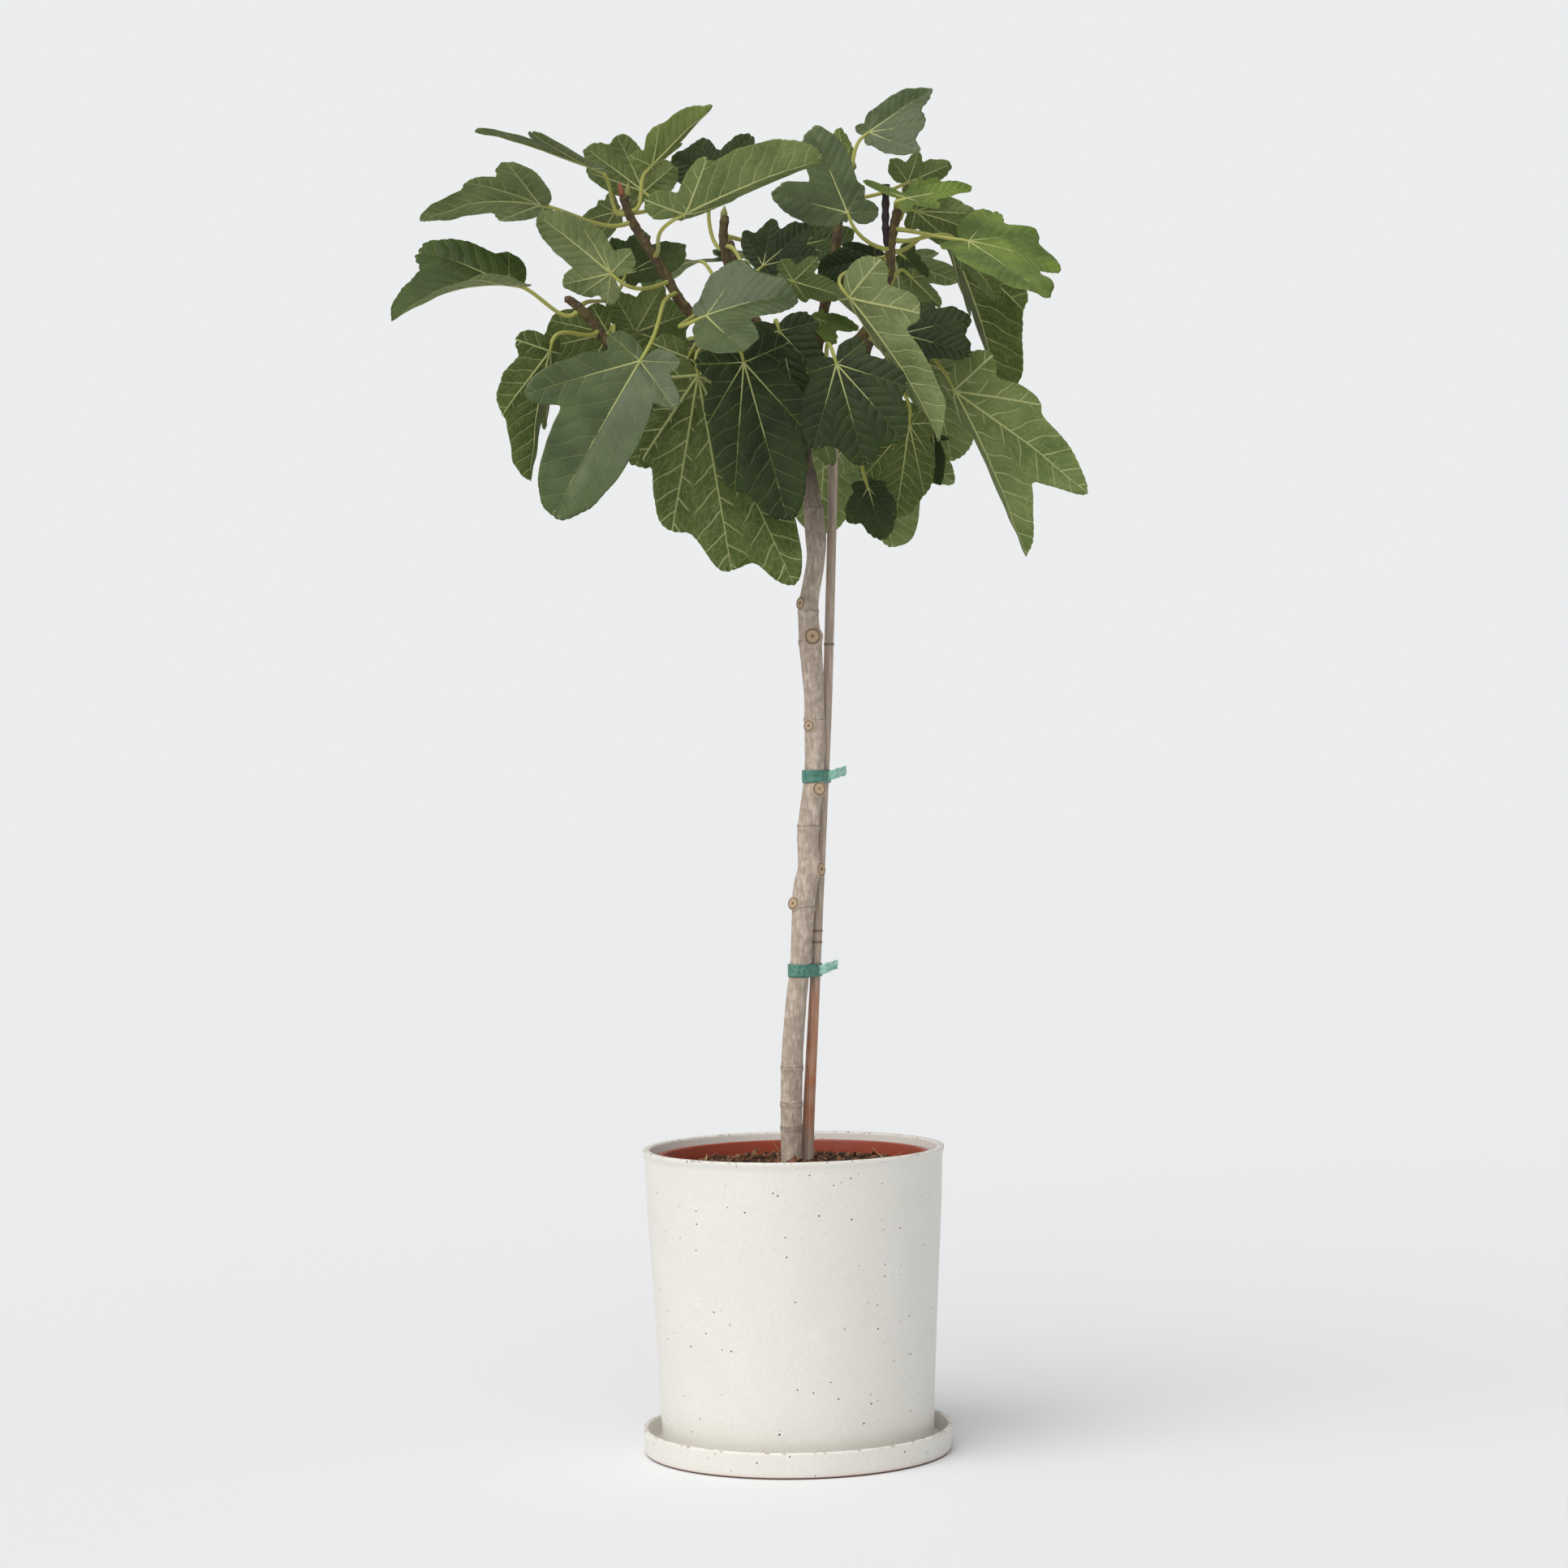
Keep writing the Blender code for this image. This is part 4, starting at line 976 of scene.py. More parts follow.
def bamboo_skin():
    """Weathered bamboo: long streaks, an orange-brown foot, and a dark line at each node."""
    material, tree, shader = new_material("bamboo_skin", 0.55)
    place = add(tree, "TexCoord", out=3)
    height = add(tree, "SeparateXYZ", place, out=2)
    long = add(tree, "Mapping", place, sockets={"Scale": (1.0, 1.0, 0.03)})
    streaks = add(tree, "TexNoise", sockets={"Vector": long, "Scale": 1 / 0.0012, "Detail": 3.0})
    streaks = add(tree, "MapRange", streaks, 0.35, 0.65, 0.0, 1.0)
    patches = add(tree, "TexNoise", sockets={"Vector": place, "Scale": 1 / 0.03, "Detail": 3.0})
    patches = add(tree, "MapRange", patches, 0.42, 0.58, 0.0, 1.0)
    grey = add(tree, "MixRGB", streaks, "#9b8878", "#c2b1a1")
    brown = add(tree, "MixRGB", streaks, "#9a5a3a", "#bd7a4c")
    from_foot = add(tree, "MapRange", height, soil_top + 0.02, soil_top + 0.06, 0.0, 1.0)
    to_top = add(tree, "MapRange", height, soil_top + 0.15, soil_top + 0.20, 1.0, 0.0)
    share = add(tree, "Math", from_foot, to_top, operation="MULTIPLY")
    worn = add(tree, "MapRange", patches, 0.0, 1.0, 0.55, 1.0)
    share = add(tree, "Math", share, worn, operation="MULTIPLY")
    colour = add(tree, "MixRGB", share, grey, brown)
    for ring in CANE_NODES:
        off = add(tree, "Math", height, soil_top + ring, operation="SUBTRACT")
        off = add(tree, "Math", off, operation="ABSOLUTE")
        line = add(tree, "MapRange", off, 0.0006, 0.0016, 0.7, 0.0)
        colour = add(tree, "MixRGB", line, colour, "#5d4232")
    finish_skin(tree, shader, colour, streaks, 0.0003, 0.5)
    return material


behind = math.sqrt((TRUNK_RADIUS + CANE_RADIUS + CLEARANCE) ** 2 - CANE_SIDE**2)
places = [(CANE_LINE[0][0], -CANE_DEPTH), *CANE_LINE]
rough_line = [(x, behind, height, girth) for (x, height), girth in zip(places, CANE_GIRTHS)]
line = smooth_line(rough_line, 0.0015)
radii = []
for _, _, height, girth in line:
    radii.append(CANE_RADIUS * girth + ring_swell(height, CANE_NODES, 0.0012, 0.0007))
points, faces = tube([over_soil(point) for point in line], radii, 28)
cane = new_object("bamboo_cane", points, faces, bamboo_skin())
face_out(cane)
show(cane, "bamboo", "cane")

# %% [markdown]
# ## Tape ties
# Growers tie a stem to its cane with stretchy green vinyl tape, about twelve millimetres wide and thin
# enough to let light through. It lies in two turns, tight round both posts. Its torn end stands off to the
# side, paler because it was stretched. Each is a thin ribbon, a little uneven where it lies tight and
# creased where it's loose.

# %% Tie tape
TAPE_WIDTH = 0.0125
TAPE_FILM = 0.0003
TAPE_TAIL = 0.022
TAPE_TURNS = 2
CREASE = 0.0045


def vinyl_film(name, base, pale):
    """Green film, paler where it is stretched thin."""
    material, tree, shader = new_material(name, 0.32, Transmission_Weight=0.25, Alpha=0.9)
    place = add(tree, "TexCoord", out=3)
    folds = add(tree, "TexNoise", sockets={"Vector": place, "Scale": 1 / 0.004, "Detail": 3.0})
    thin = add(tree, "MapRange", folds, 0.4, 0.7, 0.0, 0.6)
    colour = add(tree, "MixRGB", thin, base, pale)
    finish_skin(tree, shader, colour, folds, 0.0005, 0.6)
    return material


tape_film = vinyl_film("vinyl_tape_green", "#488a78", "#93bfae")
tail_film = vinyl_film("vinyl_tape_stretched", "#8fcdb8", "#cfe6dc")


print("films:", tape_film.name, tail_film.name)

# %% [markdown]
# ## Ribbon
# A band of tape is a thin closed sheet. Noise lifts it a hair where it lies tight, and creases it where it
# hangs loose.

# %% Ribbon
def along_line(line, height):
    """The values between a line's points at a height over the soil; the height is second in each point."""
    for low, high in zip(line, line[1:]):
        if height <= high[1]:
            break
    share = (height - low[1]) / (high[1] - low[1])
    return [a + (b - a) * share for a, b in zip(low, high)]


def ribbon(name, rows, width, material, seed):
    """A thin closed band. Each row is its middle, its way out and how far it is crumpled."""
    lanes = 8
    points = []
    for index, (middle, out, crumple) in enumerate(rows):
        for lane in range(lanes + 1):
            across = lane / lanes - 0.5
            fold = noise.noise(Vector((index * 0.35, lane * 0.8, seed)))
            narrow = 1 - 0.3 * crumple * abs(noise.noise(Vector((index * 0.2, 0, seed + 5))))
            lift = Vector((0, 0, across * width * narrow + crumple * fold * 0.0012))
            for side in (0, 1):
                stand = side * TAPE_FILM + fold * (0.00012 + CREASE * crumple)
                points.append(middle + lift + out * stand)
    faces = []
    stride = 2 * (lanes + 1)
    for index in range(len(rows) - 1):
        here, over = index * stride, (index + 1) * stride
        for lane in range(lanes):
            a = here + 2 * lane
            b = over + 2 * lane
            faces.append((a, b, b + 2, a + 2))
            faces.append((a + 1, a + 3, b + 3, b + 1))
        faces.append((here, here + 1, over + 1, over))
        last = 2 * lanes
        faces.append((here + last, over + last, over + last + 1, here + last + 1))
    for start in (0, (len(rows) - 1) * stride):
        for lane in range(lanes):
            a = start + 2 * lane
            faces.append((a, a + 1, a + 3, a + 2))
    obj = new_object(name, points, faces, material)
    face_out(obj)
    return obj


print("tape", TAPE_WIDTH * 1000, "mm wide")

# %% [markdown]
# ## Ties
# The tape runs round both posts as a tight belt does: at each angle it rests on the post that reaches
# farther that way. The loose end starts at the cane.

# %% Ties
def make_tie(name, height, tail_rise, seed):
    """Tape wound tight round stem and cane at this height, and its loose end."""
    stem_x, _, girth = along_line(TRUNK_LINE, height)
    cane_x = along_line(CANE_LINE, height)[0]
    posts = ((stem_x, 0, TRUNK_RADIUS * girth), (cane_x, behind, CANE_RADIUS))
    steps = 72 * TAPE_TURNS
    rows = []
    for step in range(steps + 1):
        angle = TURN * (step * TAPE_TURNS / steps - 0.25)
        out = Vector((math.cos(angle), math.sin(angle), 0))
        x, y, radius = max(posts, key=lambda post: post[0] * out.x + post[1] * out.y + post[2])
        spread = 0.0006 + 0.0009 * step / steps
        level = height + 0.0012 * (step / steps - 0.5)
        rows.append((over_soil((x, y, level)) + out * (radius + spread), out, 0.02))
    show(ribbon(name, rows, TAPE_WIDTH, tape_film, seed), "tie_tape", name)

    steps = 18
    rows = []
    for step in range(steps + 1):
        share = step / steps
        x = cane_x + CANE_RADIUS * 0.7 + TAPE_TAIL * 0.85 * share
        swing = 0.0025 * math.sin(5 * share)
        middle = over_soil((x, -0.001 - swing, height + tail_rise * share))
        rows.append((middle, Vector((-0.2, -0.98, 0)), 0.15 + 0.85 * share))
    show(ribbon(name + "_tail", rows, TAPE_WIDTH * 0.8, tail_film, seed + 1), "tie_tape", name)


make_tie("tie_lower", 0.199, 0.006, 1)
make_tie("tie_upper", 0.395, 0.006, 4)

# %% [markdown]
# ## Leaves
# A fig leaf is palmate: from the stalk's end run three to five main veins, one into each lobe. So its
# outline is drawn round that point, as a union of long ellipses, one for each lobe. The list gives each
# leaf's twig, its stalk's end and tip, the way its upper side faces, and its lobes.

# %% Leaf list
BLADE_THICKNESS = 0.0009
PETIOLE_RADIUS = 0.0022
PETIOLE_START = 0.0085
LOBE_SLIM = 2.0
BASE_LOBE_SLIM = 1.35

# The side lobes of a plain leaf. Each lobe is degrees from the midrib and reach as a share of the middle
# lobe; some also have how slim and how pointed they are.
PLAIN_LOBES = ((48, 0.7), (105, 0.4))

# Each leaf: name, twig, place along it, stalk's end, tip, the way its upper side faces, and how its blade is
# shaped. Heights are over the soil.
LEAVES = (
    ("far_left", "lower_left", 0.95, (-0.265, -0.090, 0.885), (-0.378, -0.120, 0.848), (0, -0.45, 0.9),
     dict(fold=28, droop=50, slim=1.7, left=((45, 0.6), (105, 0.25)), right=((42, 0.75), (100, 0.4)))),
    ("left_high", "left", 0.90, (-0.235, -0.050, 0.970), (-0.355, -0.050, 0.955), (0, 0.27, 0.96),
     dict(fold=0, droop=50, left=((35, 0.7), (75, 0.75)), right=((45, 0.55), (100, 0.25)))),
    ("left_edge_on", "left", 1.00, (-0.185, -0.030, 1.010), (-0.300, -0.040, 1.050), (0.32, -0.08, 0.94),
     dict(fold=4, droop=10, left=((45, 0.75), (105, 0.4)), right=((45, 0.65), (105, 0.35)))),
    ("left_top_back", "left", 1.00, (-0.135, 0.030, 0.995), (-0.195, 0.030, 1.040), (0.1, 0.8, 0.6),
     dict(droop=20, left=((30, 0.85), (105, 0.6)), right=((20, 0.85), (80, 0.35)))),
    ("left_top", "left", 1.00, (-0.125, -0.035, 1.010), (-0.065, -0.050, 1.065), (-0.57, 0.57, 0.59),
     dict(fold=35, droop=10, left=((48, 0.6), (105, 0.35)), right=((35, 0.5), (105, 0.3)))),
    ("left_small", "left", 0.95, (-0.165, 0.030, 0.975), (-0.200, 0.050, 0.970), (0, 0.9, 0.3),
     dict(fold=10, droop=20, left=((40, 0.55), (85, 0.5)), right=((35, 1), (95, 0.35)))),
    ("left_pale", "left", 0.65, (-0.165, -0.085, 0.895), (-0.235, -0.100, 0.950), (0.2, 0.9, 0.4),
     dict(droop=25, left=((20, 0.6), (35, 0.35), (95, 0.35)),
          right=((55, 0.6), (75, 0.45), (120, 0.35)))),
    ("left_behind", "lower_left", 0.95, (-0.155, 0.020, 0.910), (-0.135, 0.030, 0.955), (0, -0.8, 0.6),
     dict(droop=25, left=((40, 0.8), (90, 0.35)), right=((45, 1.3), (60, 1.25), (120, 0.35)))),
    ("left_brown", "lower_left", 0.60, (-0.145, -0.020, 0.845), (-0.085, -0.010, 0.866), (0, 0.9, 0.3),
     dict(droop=20, slim=1.7, left=((35, 0.9), (100, 0.55)), right=((40, 0.85), (100, 0.7)))),
    ("left_hanging", "lower_left", 0.80, (-0.170, -0.050, 0.840), (-0.212, -0.060, 0.766), (0.1, 0.95, 0.2),
     dict(droop=25, slim=1.7, left=((50, 0.8), (75, 0.7), (120, 0.4)), right=((35, 0.75), (90, 0.5)))),
    ("low_left", "lower_left", 0.85, (-0.225, -0.120, 0.815), (-0.245, -0.130, 0.688), (-0.81, 0.57, 0.14),
     dict(fold=30, droop=20, slim=2.2, left=((28, 0.62, 1.8), (90, 0.3)),
          right=((42, 0.68, 2), (95, 0.3)))),
    ("low_front", "left", 0.60, (-0.135, -0.150, 0.800), (-0.221, -0.165, 0.650), (0.15, -0.95, 0.35),
     dict(fold=12, droop=30, slim=2.1, left=((62, 0.35), (115, 0.22)),
          right=((42, 0.68, 2.9), (100, 0.22)))),
    ("low_back", "left", 0.40, (-0.090, -0.085, 0.810), (-0.145, -0.080, 0.705), (0.1, 0.99, 0),
     dict(droop=25, left=((25, 0.75), (85, 0.35)), right=((20, 0.8), (80, 0.35)))),
    ("low_centre", "left", 0.35, (-0.080, -0.110, 0.790), (-0.050, -0.115, 0.595), (0, 0.95, 0.2),
     dict(fold=12, droop=25, slim=2.8, left=((20, 0.78, 2.5), (45, 0.5), (95, 0.3)),
          right=((15, 1.15, 3.2, 0.4), (50, 0.3), (110, 0.25)))),
    ("low_dark", "middle", 0.55, (-0.035, -0.125, 0.800), (0.005, -0.130, 0.645), (0, -1, 0.1),
     dict(fold=14, droop=20, slim=2.3, left=((26, 0.66), (95, 0.3)),
          right=((20, 0.78), (45, 0.45), (100, 0.3)))),
    ("centre_grey", "left", 0.50, (-0.070, -0.170, 0.840), (0.020, -0.175, 0.855), (0, -0.75, 0.65),
     dict(fold=14, droop=35, slim=1.5, left=((45, 0.72, 1.6), (110, 0.25)),
          right=((68, 1.0, 1.7), (120, 0.25)))),
    ("centre_pale", "left", 0.75, (-0.090, -0.130, 0.945), (0.045, -0.130, 1.000), (-0.32, 0.57, 0.75),
     dict(fold=35, droop=15, left=((40, 0.45), (100, 0.1)), right=((45, 0.4), (130, 0.3)))),
    ("top_dark", "middle", 1.00, (-0.060, 0.040, 1.005), (-0.025, 0.050, 1.055), (0, -0.7, 0.5),
     dict(droop=20, left=((55, 0.85), (90, 0.9)), right=((48, 0.6), (105, 0.35)))),
    ("top_right_front", "right", 0.80, (0.070, -0.060, 0.955), (0.035, -0.060, 1.040), (-0.1, -0.85, 0.5),
     dict(droop=20, left=((55, 0.85), (80, 0.4)), right=((50, 0.35), (110, 0.35)))),
    ("top_young", "top", 0.80, (0.070, 0.050, 1.020), (0.065, 0.050, 1.060), (0, 0.9, 0.3),
     dict(fold=25, left=((25, 0.65), (85, 0.35)), right=((30, 0.8), (90, 0.35)))),
    ("top_right_tip", "top", 0.95, (0.095, 0.020, 1.050), (0.160, 0.020, 1.092), (0.1, -0.9, 0.4),
     dict(droop=20, fold=15, slim=1.9, point=0.6, left=((45, 0.3), (120, 0.2)),
          right=((32, 0.78, 1.6), (64, 0.84, 2, 0.6), (120, 0.2)))),
    ("top_right_back", "top", 0.90, (0.135, 0.060, 1.005), (0.180, 0.070, 1.025), (0, 0.95, 0.3),
     dict(droop=20, left=((40, 0.6), (95, 0.5)), right=((45, 0.65), (105, 0.6)))),
    ("right_small", "right", 1.00, (0.140, -0.015, 0.980), (0.165, -0.020, 0.995), (0, -0.8, 0.6),
     dict(slim=2, left=((50, 0.7), (110, 0.35)), right=((48, 0.6), (105, 0.35)))),
    ("right_edge_on", "right", 1.00, (0.130, -0.050, 0.970), (0.195, -0.055, 0.980), (0, -0.8, 0.6),
     dict(fold=3, droop=15, slim=3, left=((60, 0.4), (135, 0.9, 6)), right=((35, 0.6), (100, 0.3)))),
    ("right_under", "right", 0.95, (0.140, -0.005, 0.965), (0.200, 0.000, 0.945), (0, 0.9, 0.4),
     dict(droop=20, left=((25, 0.8), (85, 0.35)), right=((15, 0.9), (35, 0.5), (95, 0.35)))),
    ("far_right", "right", 0.90, (0.190, -0.060, 0.925), (0.280, -0.080, 0.890), (0.1, -0.6, 0.8),
     dict(droop=25, left=((35, 0.75), (85, 0.6)), right=((40, 1.35), (70, 0.65), (120, 0.35)))),
    ("far_right_lobe", "right", 0.85, (0.185, -0.020, 0.925), (0.220, -0.030, 0.870), (0.5, 0.8, 0.2),
     dict(fold=20, slim=2.4, left=((50, 0.4), (105, 0.2)), right=((50, 0.4), (105, 0.2)))),
    ("right_hanging", "right", 0.80, (0.180, 0.050, 0.940), (0.225, 0.055, 0.780), (0.79, 0.57, 0.23),
     dict(fold=35, droop=20, left=((48, 0.6), (105, 0.35)), right=((30, 0.6), (90, 0.35)))),
    ("low_right", "right", 0.50, (0.175, -0.035, 0.780), (0.240, -0.045, 0.610), (0.76, 0.57, 0.31),
     dict(fold=35, droop=20, slim=2.6, point=0.5, left=((60, 0.35), (105, 0.25)),
          right=((30, 0.92, 2.3, 0.9), (55, 0.5), (100, 0.3)))),
    ("right_pale", "right", 0.70, (0.070, -0.100, 0.865), (0.160, -0.130, 0.720), (0.68, 0.57, 0.46),
     dict(fold=35, droop=20, slim=3.0, left=((48, 0.5), (105, 0.3)), right=((40, 0.45, 2), (95, 0.3)))),
    ("right_pale_high", "middle", 0.50, (0.015, -0.045, 0.890), (0.065, -0.040, 0.875), (0, 0.9, 0.4),
     dict(left=((40, 0.5), (100, 0.35)), right=((60, 0.65), (135, 0.5)))),
    ("right_grey", "right", 0.60, (0.120, -0.050, 0.835), (0.190, -0.070, 0.810), (0, -0.9, 0.4),
     dict(droop=20, left=((30, 0.95), (65, 0.6)), right=((40, 0.65), (100, 0.35)))),
    ("inner_dark", "right", 0.80, (0.100, 0.010, 0.920), (0.040, 0.020, 0.910), (0, -0.9, 0.1),
     dict(droop=20, left=((35, 0.9), (90, 0.25)), right=((30, 0.6), (85, 0.25)))),
    ("low_right_dark", "right", 0.15, (0.055, -0.140, 0.795), (0.080, -0.150, 0.695), (0, -0.95, 0.3),
     dict(droop=25, left=((25, 0.95), (55, 0.7), (115, 0.35)), right=((30, 0.85), (85, 0.3)))),
    ("low_right_small", "right", 0.00, (0.040, -0.040, 0.740), (0.050, -0.040, 0.705), (0, 0.95, 0.1),
     dict(left=((30, 0.7), (90, 0.35)), right=((50, 0.8), (110, 0.35)))),
    ("low_right_under", "right", 0.30, (0.130, 0.000, 0.750), (0.115, 0.000, 0.655), (0.2, 0.95, 0.1),
     dict(droop=20, left=((35, 0.75), (95, 0.35)), right=((20, 0.7), (40, 0.4), (100, 0.35)))),
    ("low_right_curled", "right", 0.25, (0.085, -0.080, 0.680), (0.100, -0.080, 0.628), (0, -0.9, 0.3),
     dict(slim=1.6, left=((25, 0.7), (80, 0.35)), right=((45, 0.75, 1.8), (110, 0.3)))),
    ("low_right_back", "right", 0.40, (0.155, 0.030, 0.740), (0.160, 0.030, 0.690), (0, -0.9, 0.3),
     dict(slim=3, left=((15, 0.6), (75, 0.35)), right=((48, 0.6), (105, 0.35)))),
    ("inner_left", "middle", 0.85, (-0.015, -0.020, 0.910), (0.035, -0.020, 0.950), (0, -0.8, 0.5),
     dict(droop=20, left=((40, 0.75), (80, 0.65)), right=((35, 0.9), (95, 0.35)))),
    ("inner_right", "middle", 0.90, (0.025, 0.075, 0.945), (0.080, 0.075, 0.955), (0, -0.8, 0.5),
     dict(droop=20, left=((30, 0.85), (90, 0.35)), right=((40, 1), (100, 0.35)))),
    ("inner_bright", "middle", 0.40, (0.040, 0.020, 0.860), (0.080, 0.020, 0.850), (0, -0.8, 0.5),
     dict(left=((20, 0.6), (80, 0.35)), right=((55, 0.9), (115, 0.35)))),
    ("inner_hanging", "left", 0.20, (0.000, -0.050, 0.840), (0.018, -0.050, 0.755), (0, -0.9, 0.2),
     dict(droop=20, slim=1.7, left=((30, 0.75), (90, 0.45)), right=((30, 0.7), (85, 0.45)))),
    ("right_inner", "right", 0.65, (0.130, 0.040, 0.925), (0.155, 0.040, 0.905), (0, -0.8, 0.5),
     dict(droop=20, left=((40, 0.55), (105, 0.65)), right=((55, 0.9), (115, 0.35)))),
    ("right_thin", "right", 0.60, (0.135, 0.010, 0.900), (0.165, 0.010, 0.870), (0, 0.9, 0.3),
     dict(fold=25, slim=2.5, left=((50, 0.35), (105, 0.2)), right=((50, 0.35), (105, 0.2)))),
    ("rear_high_left", "rear_left", 1.00, (-0.085, 0.170, 0.945), (-0.140, 0.270, 0.930), (-0.2, 0.3, 0.9),
     dict(droop=40)),
    ("rear_mid_left", "rear_left", 0.45, (-0.100, 0.115, 0.850), (-0.140, 0.235, 0.765), (-0.3, 0.5, 0.8),
     dict(droop=35)),
    ("rear_top", "rear_left", 0.90, (-0.020, 0.180, 0.955), (0.010, 0.290, 0.930), (0.1, 0.4, 0.9),
     dict(droop=45)),
    ("rear_low_left", "rear_left", 0.55, (-0.050, 0.120, 0.810), (-0.090, 0.200, 0.680), (-0.3, 0.8, 0.4),
     dict(droop=25)),
    ("rear_high_right", "rear_right", 1.00, (0.125, 0.185, 0.945), (0.135, 0.285, 0.880), (0.1, 0.4, 0.9),
     dict(droop=45)),
    ("rear_mid_right", "rear_right", 0.75, (0.150, 0.125, 0.830), (0.185, 0.225, 0.735), (0.4, 0.6, 0.6),
     dict(droop=30)),
    ("rear_low", "rear_right", 0.50, (0.050, 0.110, 0.790), (0.040, 0.215, 0.655), (0, 0.85, 0.5),
     dict(droop=30)),
    ("rear_low_right", "rear_right", 0.35, (0.095, 0.075, 0.760), (0.115, 0.150, 0.635), (0.5, 0.8, 0.3),
     dict(droop=25)),
)
print(len(LEAVES), "leaves")

# %% [markdown]
# ## A blade's outline and bend
# The flat outline is given by its reach in each direction. Small rounded teeth and slow waves are added to
# it, because the margin of a fig leaf is scalloped. The flat blade is then bent: it droops along an arc, it
# folds up along its midrib, and its edge ripples.

# %% Blade shape
LOBE_UNION = 9
NOTCH_START = 158
NOTCH_WIDTH = 14
TOOTH_SPACING = 0.0075
SPOKE_SPACING = 0.0026


def lobe_reach(lobe, angle):
    """How far one lobe reaches at this angle: an ellipse with one end at the stalk, sharper by its point."""
    middle, size, slim, point = lobe
    away = angle - math.radians(middle)
    if math.cos(away) <= 0:
        return 0
    width = math.cos(away) ** 2 + (slim * math.sin(away)) ** 2 + point * abs(math.sin(away))
    return size * math.cos(away) / width


class Blade:
    """One leaf's blade: its outline when flat, and the bent surface that it lies on."""

    def __init__(
        self,
        name,
        joint,
        tip,
        faces,
        left=PLAIN_LOBES,
        right=PLAIN_LOBES,
        fold=8,
        droop=15,
        slim=LOBE_SLIM,
        point=0,
    ):
        self.joint = joint
        chord = tip - joint
        half = math.radians(max(droop, 1)) / 2
        self.length = chord.length * half / math.sin(half)
        ahead = chord.normalized()
        up = (faces - ahead * faces.dot(ahead)).normalized()
        self.tangent = ahead * math.cos(half) + up * math.sin(half)
        self.normal = up * math.cos(half) - ahead * math.sin(half)
        self.side = self.normal.cross(self.tangent)
        self.bend = 2 * half / self.length
        self.fold = math.radians(fold)
        self.lobes = [(0, 1, slim, point)]
        for lobes, sign in ((left, 1), (right, -1)):
            for degrees, reach, *own in lobes:
                lobe_slim = own[0] if own else slim if degrees < 85 else BASE_LOBE_SLIM
                self.lobes.append((sign * degrees, reach, lobe_slim, own[1] if len(own) > 1 else 0))
        self.phase = random.Random(name).uniform(0, TURN)
        self.seed = random.Random(name + "edge").uniform(0, 90)

    def reach(self, degrees):
        """How far the outline lies from the stalk's end, this many degrees from the midrib."""
        degrees = (degrees + 180) % 360 - 180
        total = 0
        for lobe in self.lobes:
            total += lobe_reach(lobe, math.radians(degrees)) ** LOBE_UNION
        full = max(total ** (1 / LOBE_UNION) * self.length, 1.15 * PETIOLE_START)
        notch = min(max((abs(degrees) - NOTCH_START) / NOTCH_WIDTH, 0), 1)
        return full + (0.35 * PETIOLE_START - full) * notch

    def ripple(self, ahead, across):
        """Small rises: the edge ripples, and the blade sinks a little along each main vein."""
        far = math.hypot(ahead, across) / self.length
        edge = noise.noise(Vector((ahead * 38, across * 38, self.seed))) * 0.0055 * min(far, 1) ** 2
        valley = 0
        for middle, size, _, _ in self.lobes:
            away = math.atan2(across, ahead) - math.radians(middle)
            if math.cos(away) > 0 and math.hypot(ahead, across) < size * self.length:
                off = math.hypot(ahead, across) * math.sin(away)
                valley = max(valley, math.exp(-((off / 0.005) ** 2)))
        return edge - 0.0016 * valley * min(far * 4, 1)

    def place(self, ahead, across, lift):
        """The point of the bent blade that lies this far ahead and across on the flat one."""
        turned_by = self.bend * max(ahead, 0)
        if ahead > 0:
            run = math.sin(turned_by) / self.bend
            drop = (1 - math.cos(turned_by)) / self.bend
        else:
            run = ahead
            drop = 0
        normal = self.normal * math.cos(turned_by) + self.tangent * math.sin(turned_by)
        soft = 0.05 * self.length
        rise = math.sin(self.fold) * (math.hypot(across, soft) - soft)
        far = (ahead**2 + across**2) / self.length**2
        wave = 0.03 * self.length * far * math.sin(2.5 * math.atan2(across, ahead) + self.phase)
        rise += wave + self.ripple(ahead, across)
        flat = self.joint + self.tangent * run - self.normal * drop
        return flat + self.side * (across * math.cos(self.fold)) + normal * (rise + lift)


print("a lobe reaches", round(lobe_reach((0, 1, LOBE_SLIM, 0), math.radians(30)), 2), "at 30 degrees")

# %% [markdown]
# ## Margin
# The outline is walked in even steps. Each tooth is a small rounded bump, and a slow noise makes no two
# stretches of the edge alike.

# %% Margin
def margin(blade):
    """Directions and reaches round the outline, evenly apart, with the margin's teeth."""
    dense = [index * 0.5 for index in range(721)]
    walked = [0]
    before = None
    for degrees in dense:
        reach = blade.reach(degrees)
        here = (reach * math.cos(math.radians(degrees)), reach * math.sin(math.radians(degrees)))
        if before:
            walked.append(walked[-1] + math.dist(before, here))
        before = here
    teeth = max(12, round(walked[-1] / TOOTH_SPACING))
    count = teeth * max(2, round(walked[-1] / teeth / SPOKE_SPACING))
    spokes = []
    index = 0
    for step in range(count):
        wanted = walked[-1] * step / count
        while walked[index + 1] < wanted:
            index += 1
        share = (wanted - walked[index]) / max(walked[index + 1] - walked[index], 1e-9)
        degrees = dense[index] + 0.5 * share
        reach = blade.reach(degrees)
        big = min(reach / 0.04, 1)
        tooth = abs(math.sin(math.pi * teeth * step / count)) ** 0.6 - 0.6
        tooth *= 0.5 + noise.noise(Vector((step * 0.031, 0, blade.seed)))
        turn = TURN * step / count
        slow = noise.noise(Vector((math.cos(turn) * 5, math.sin(turn) * 5, blade.seed)))
        spokes.append((degrees, reach + big * (0.0015 * tooth + 0.0036 * slow)))
    return spokes


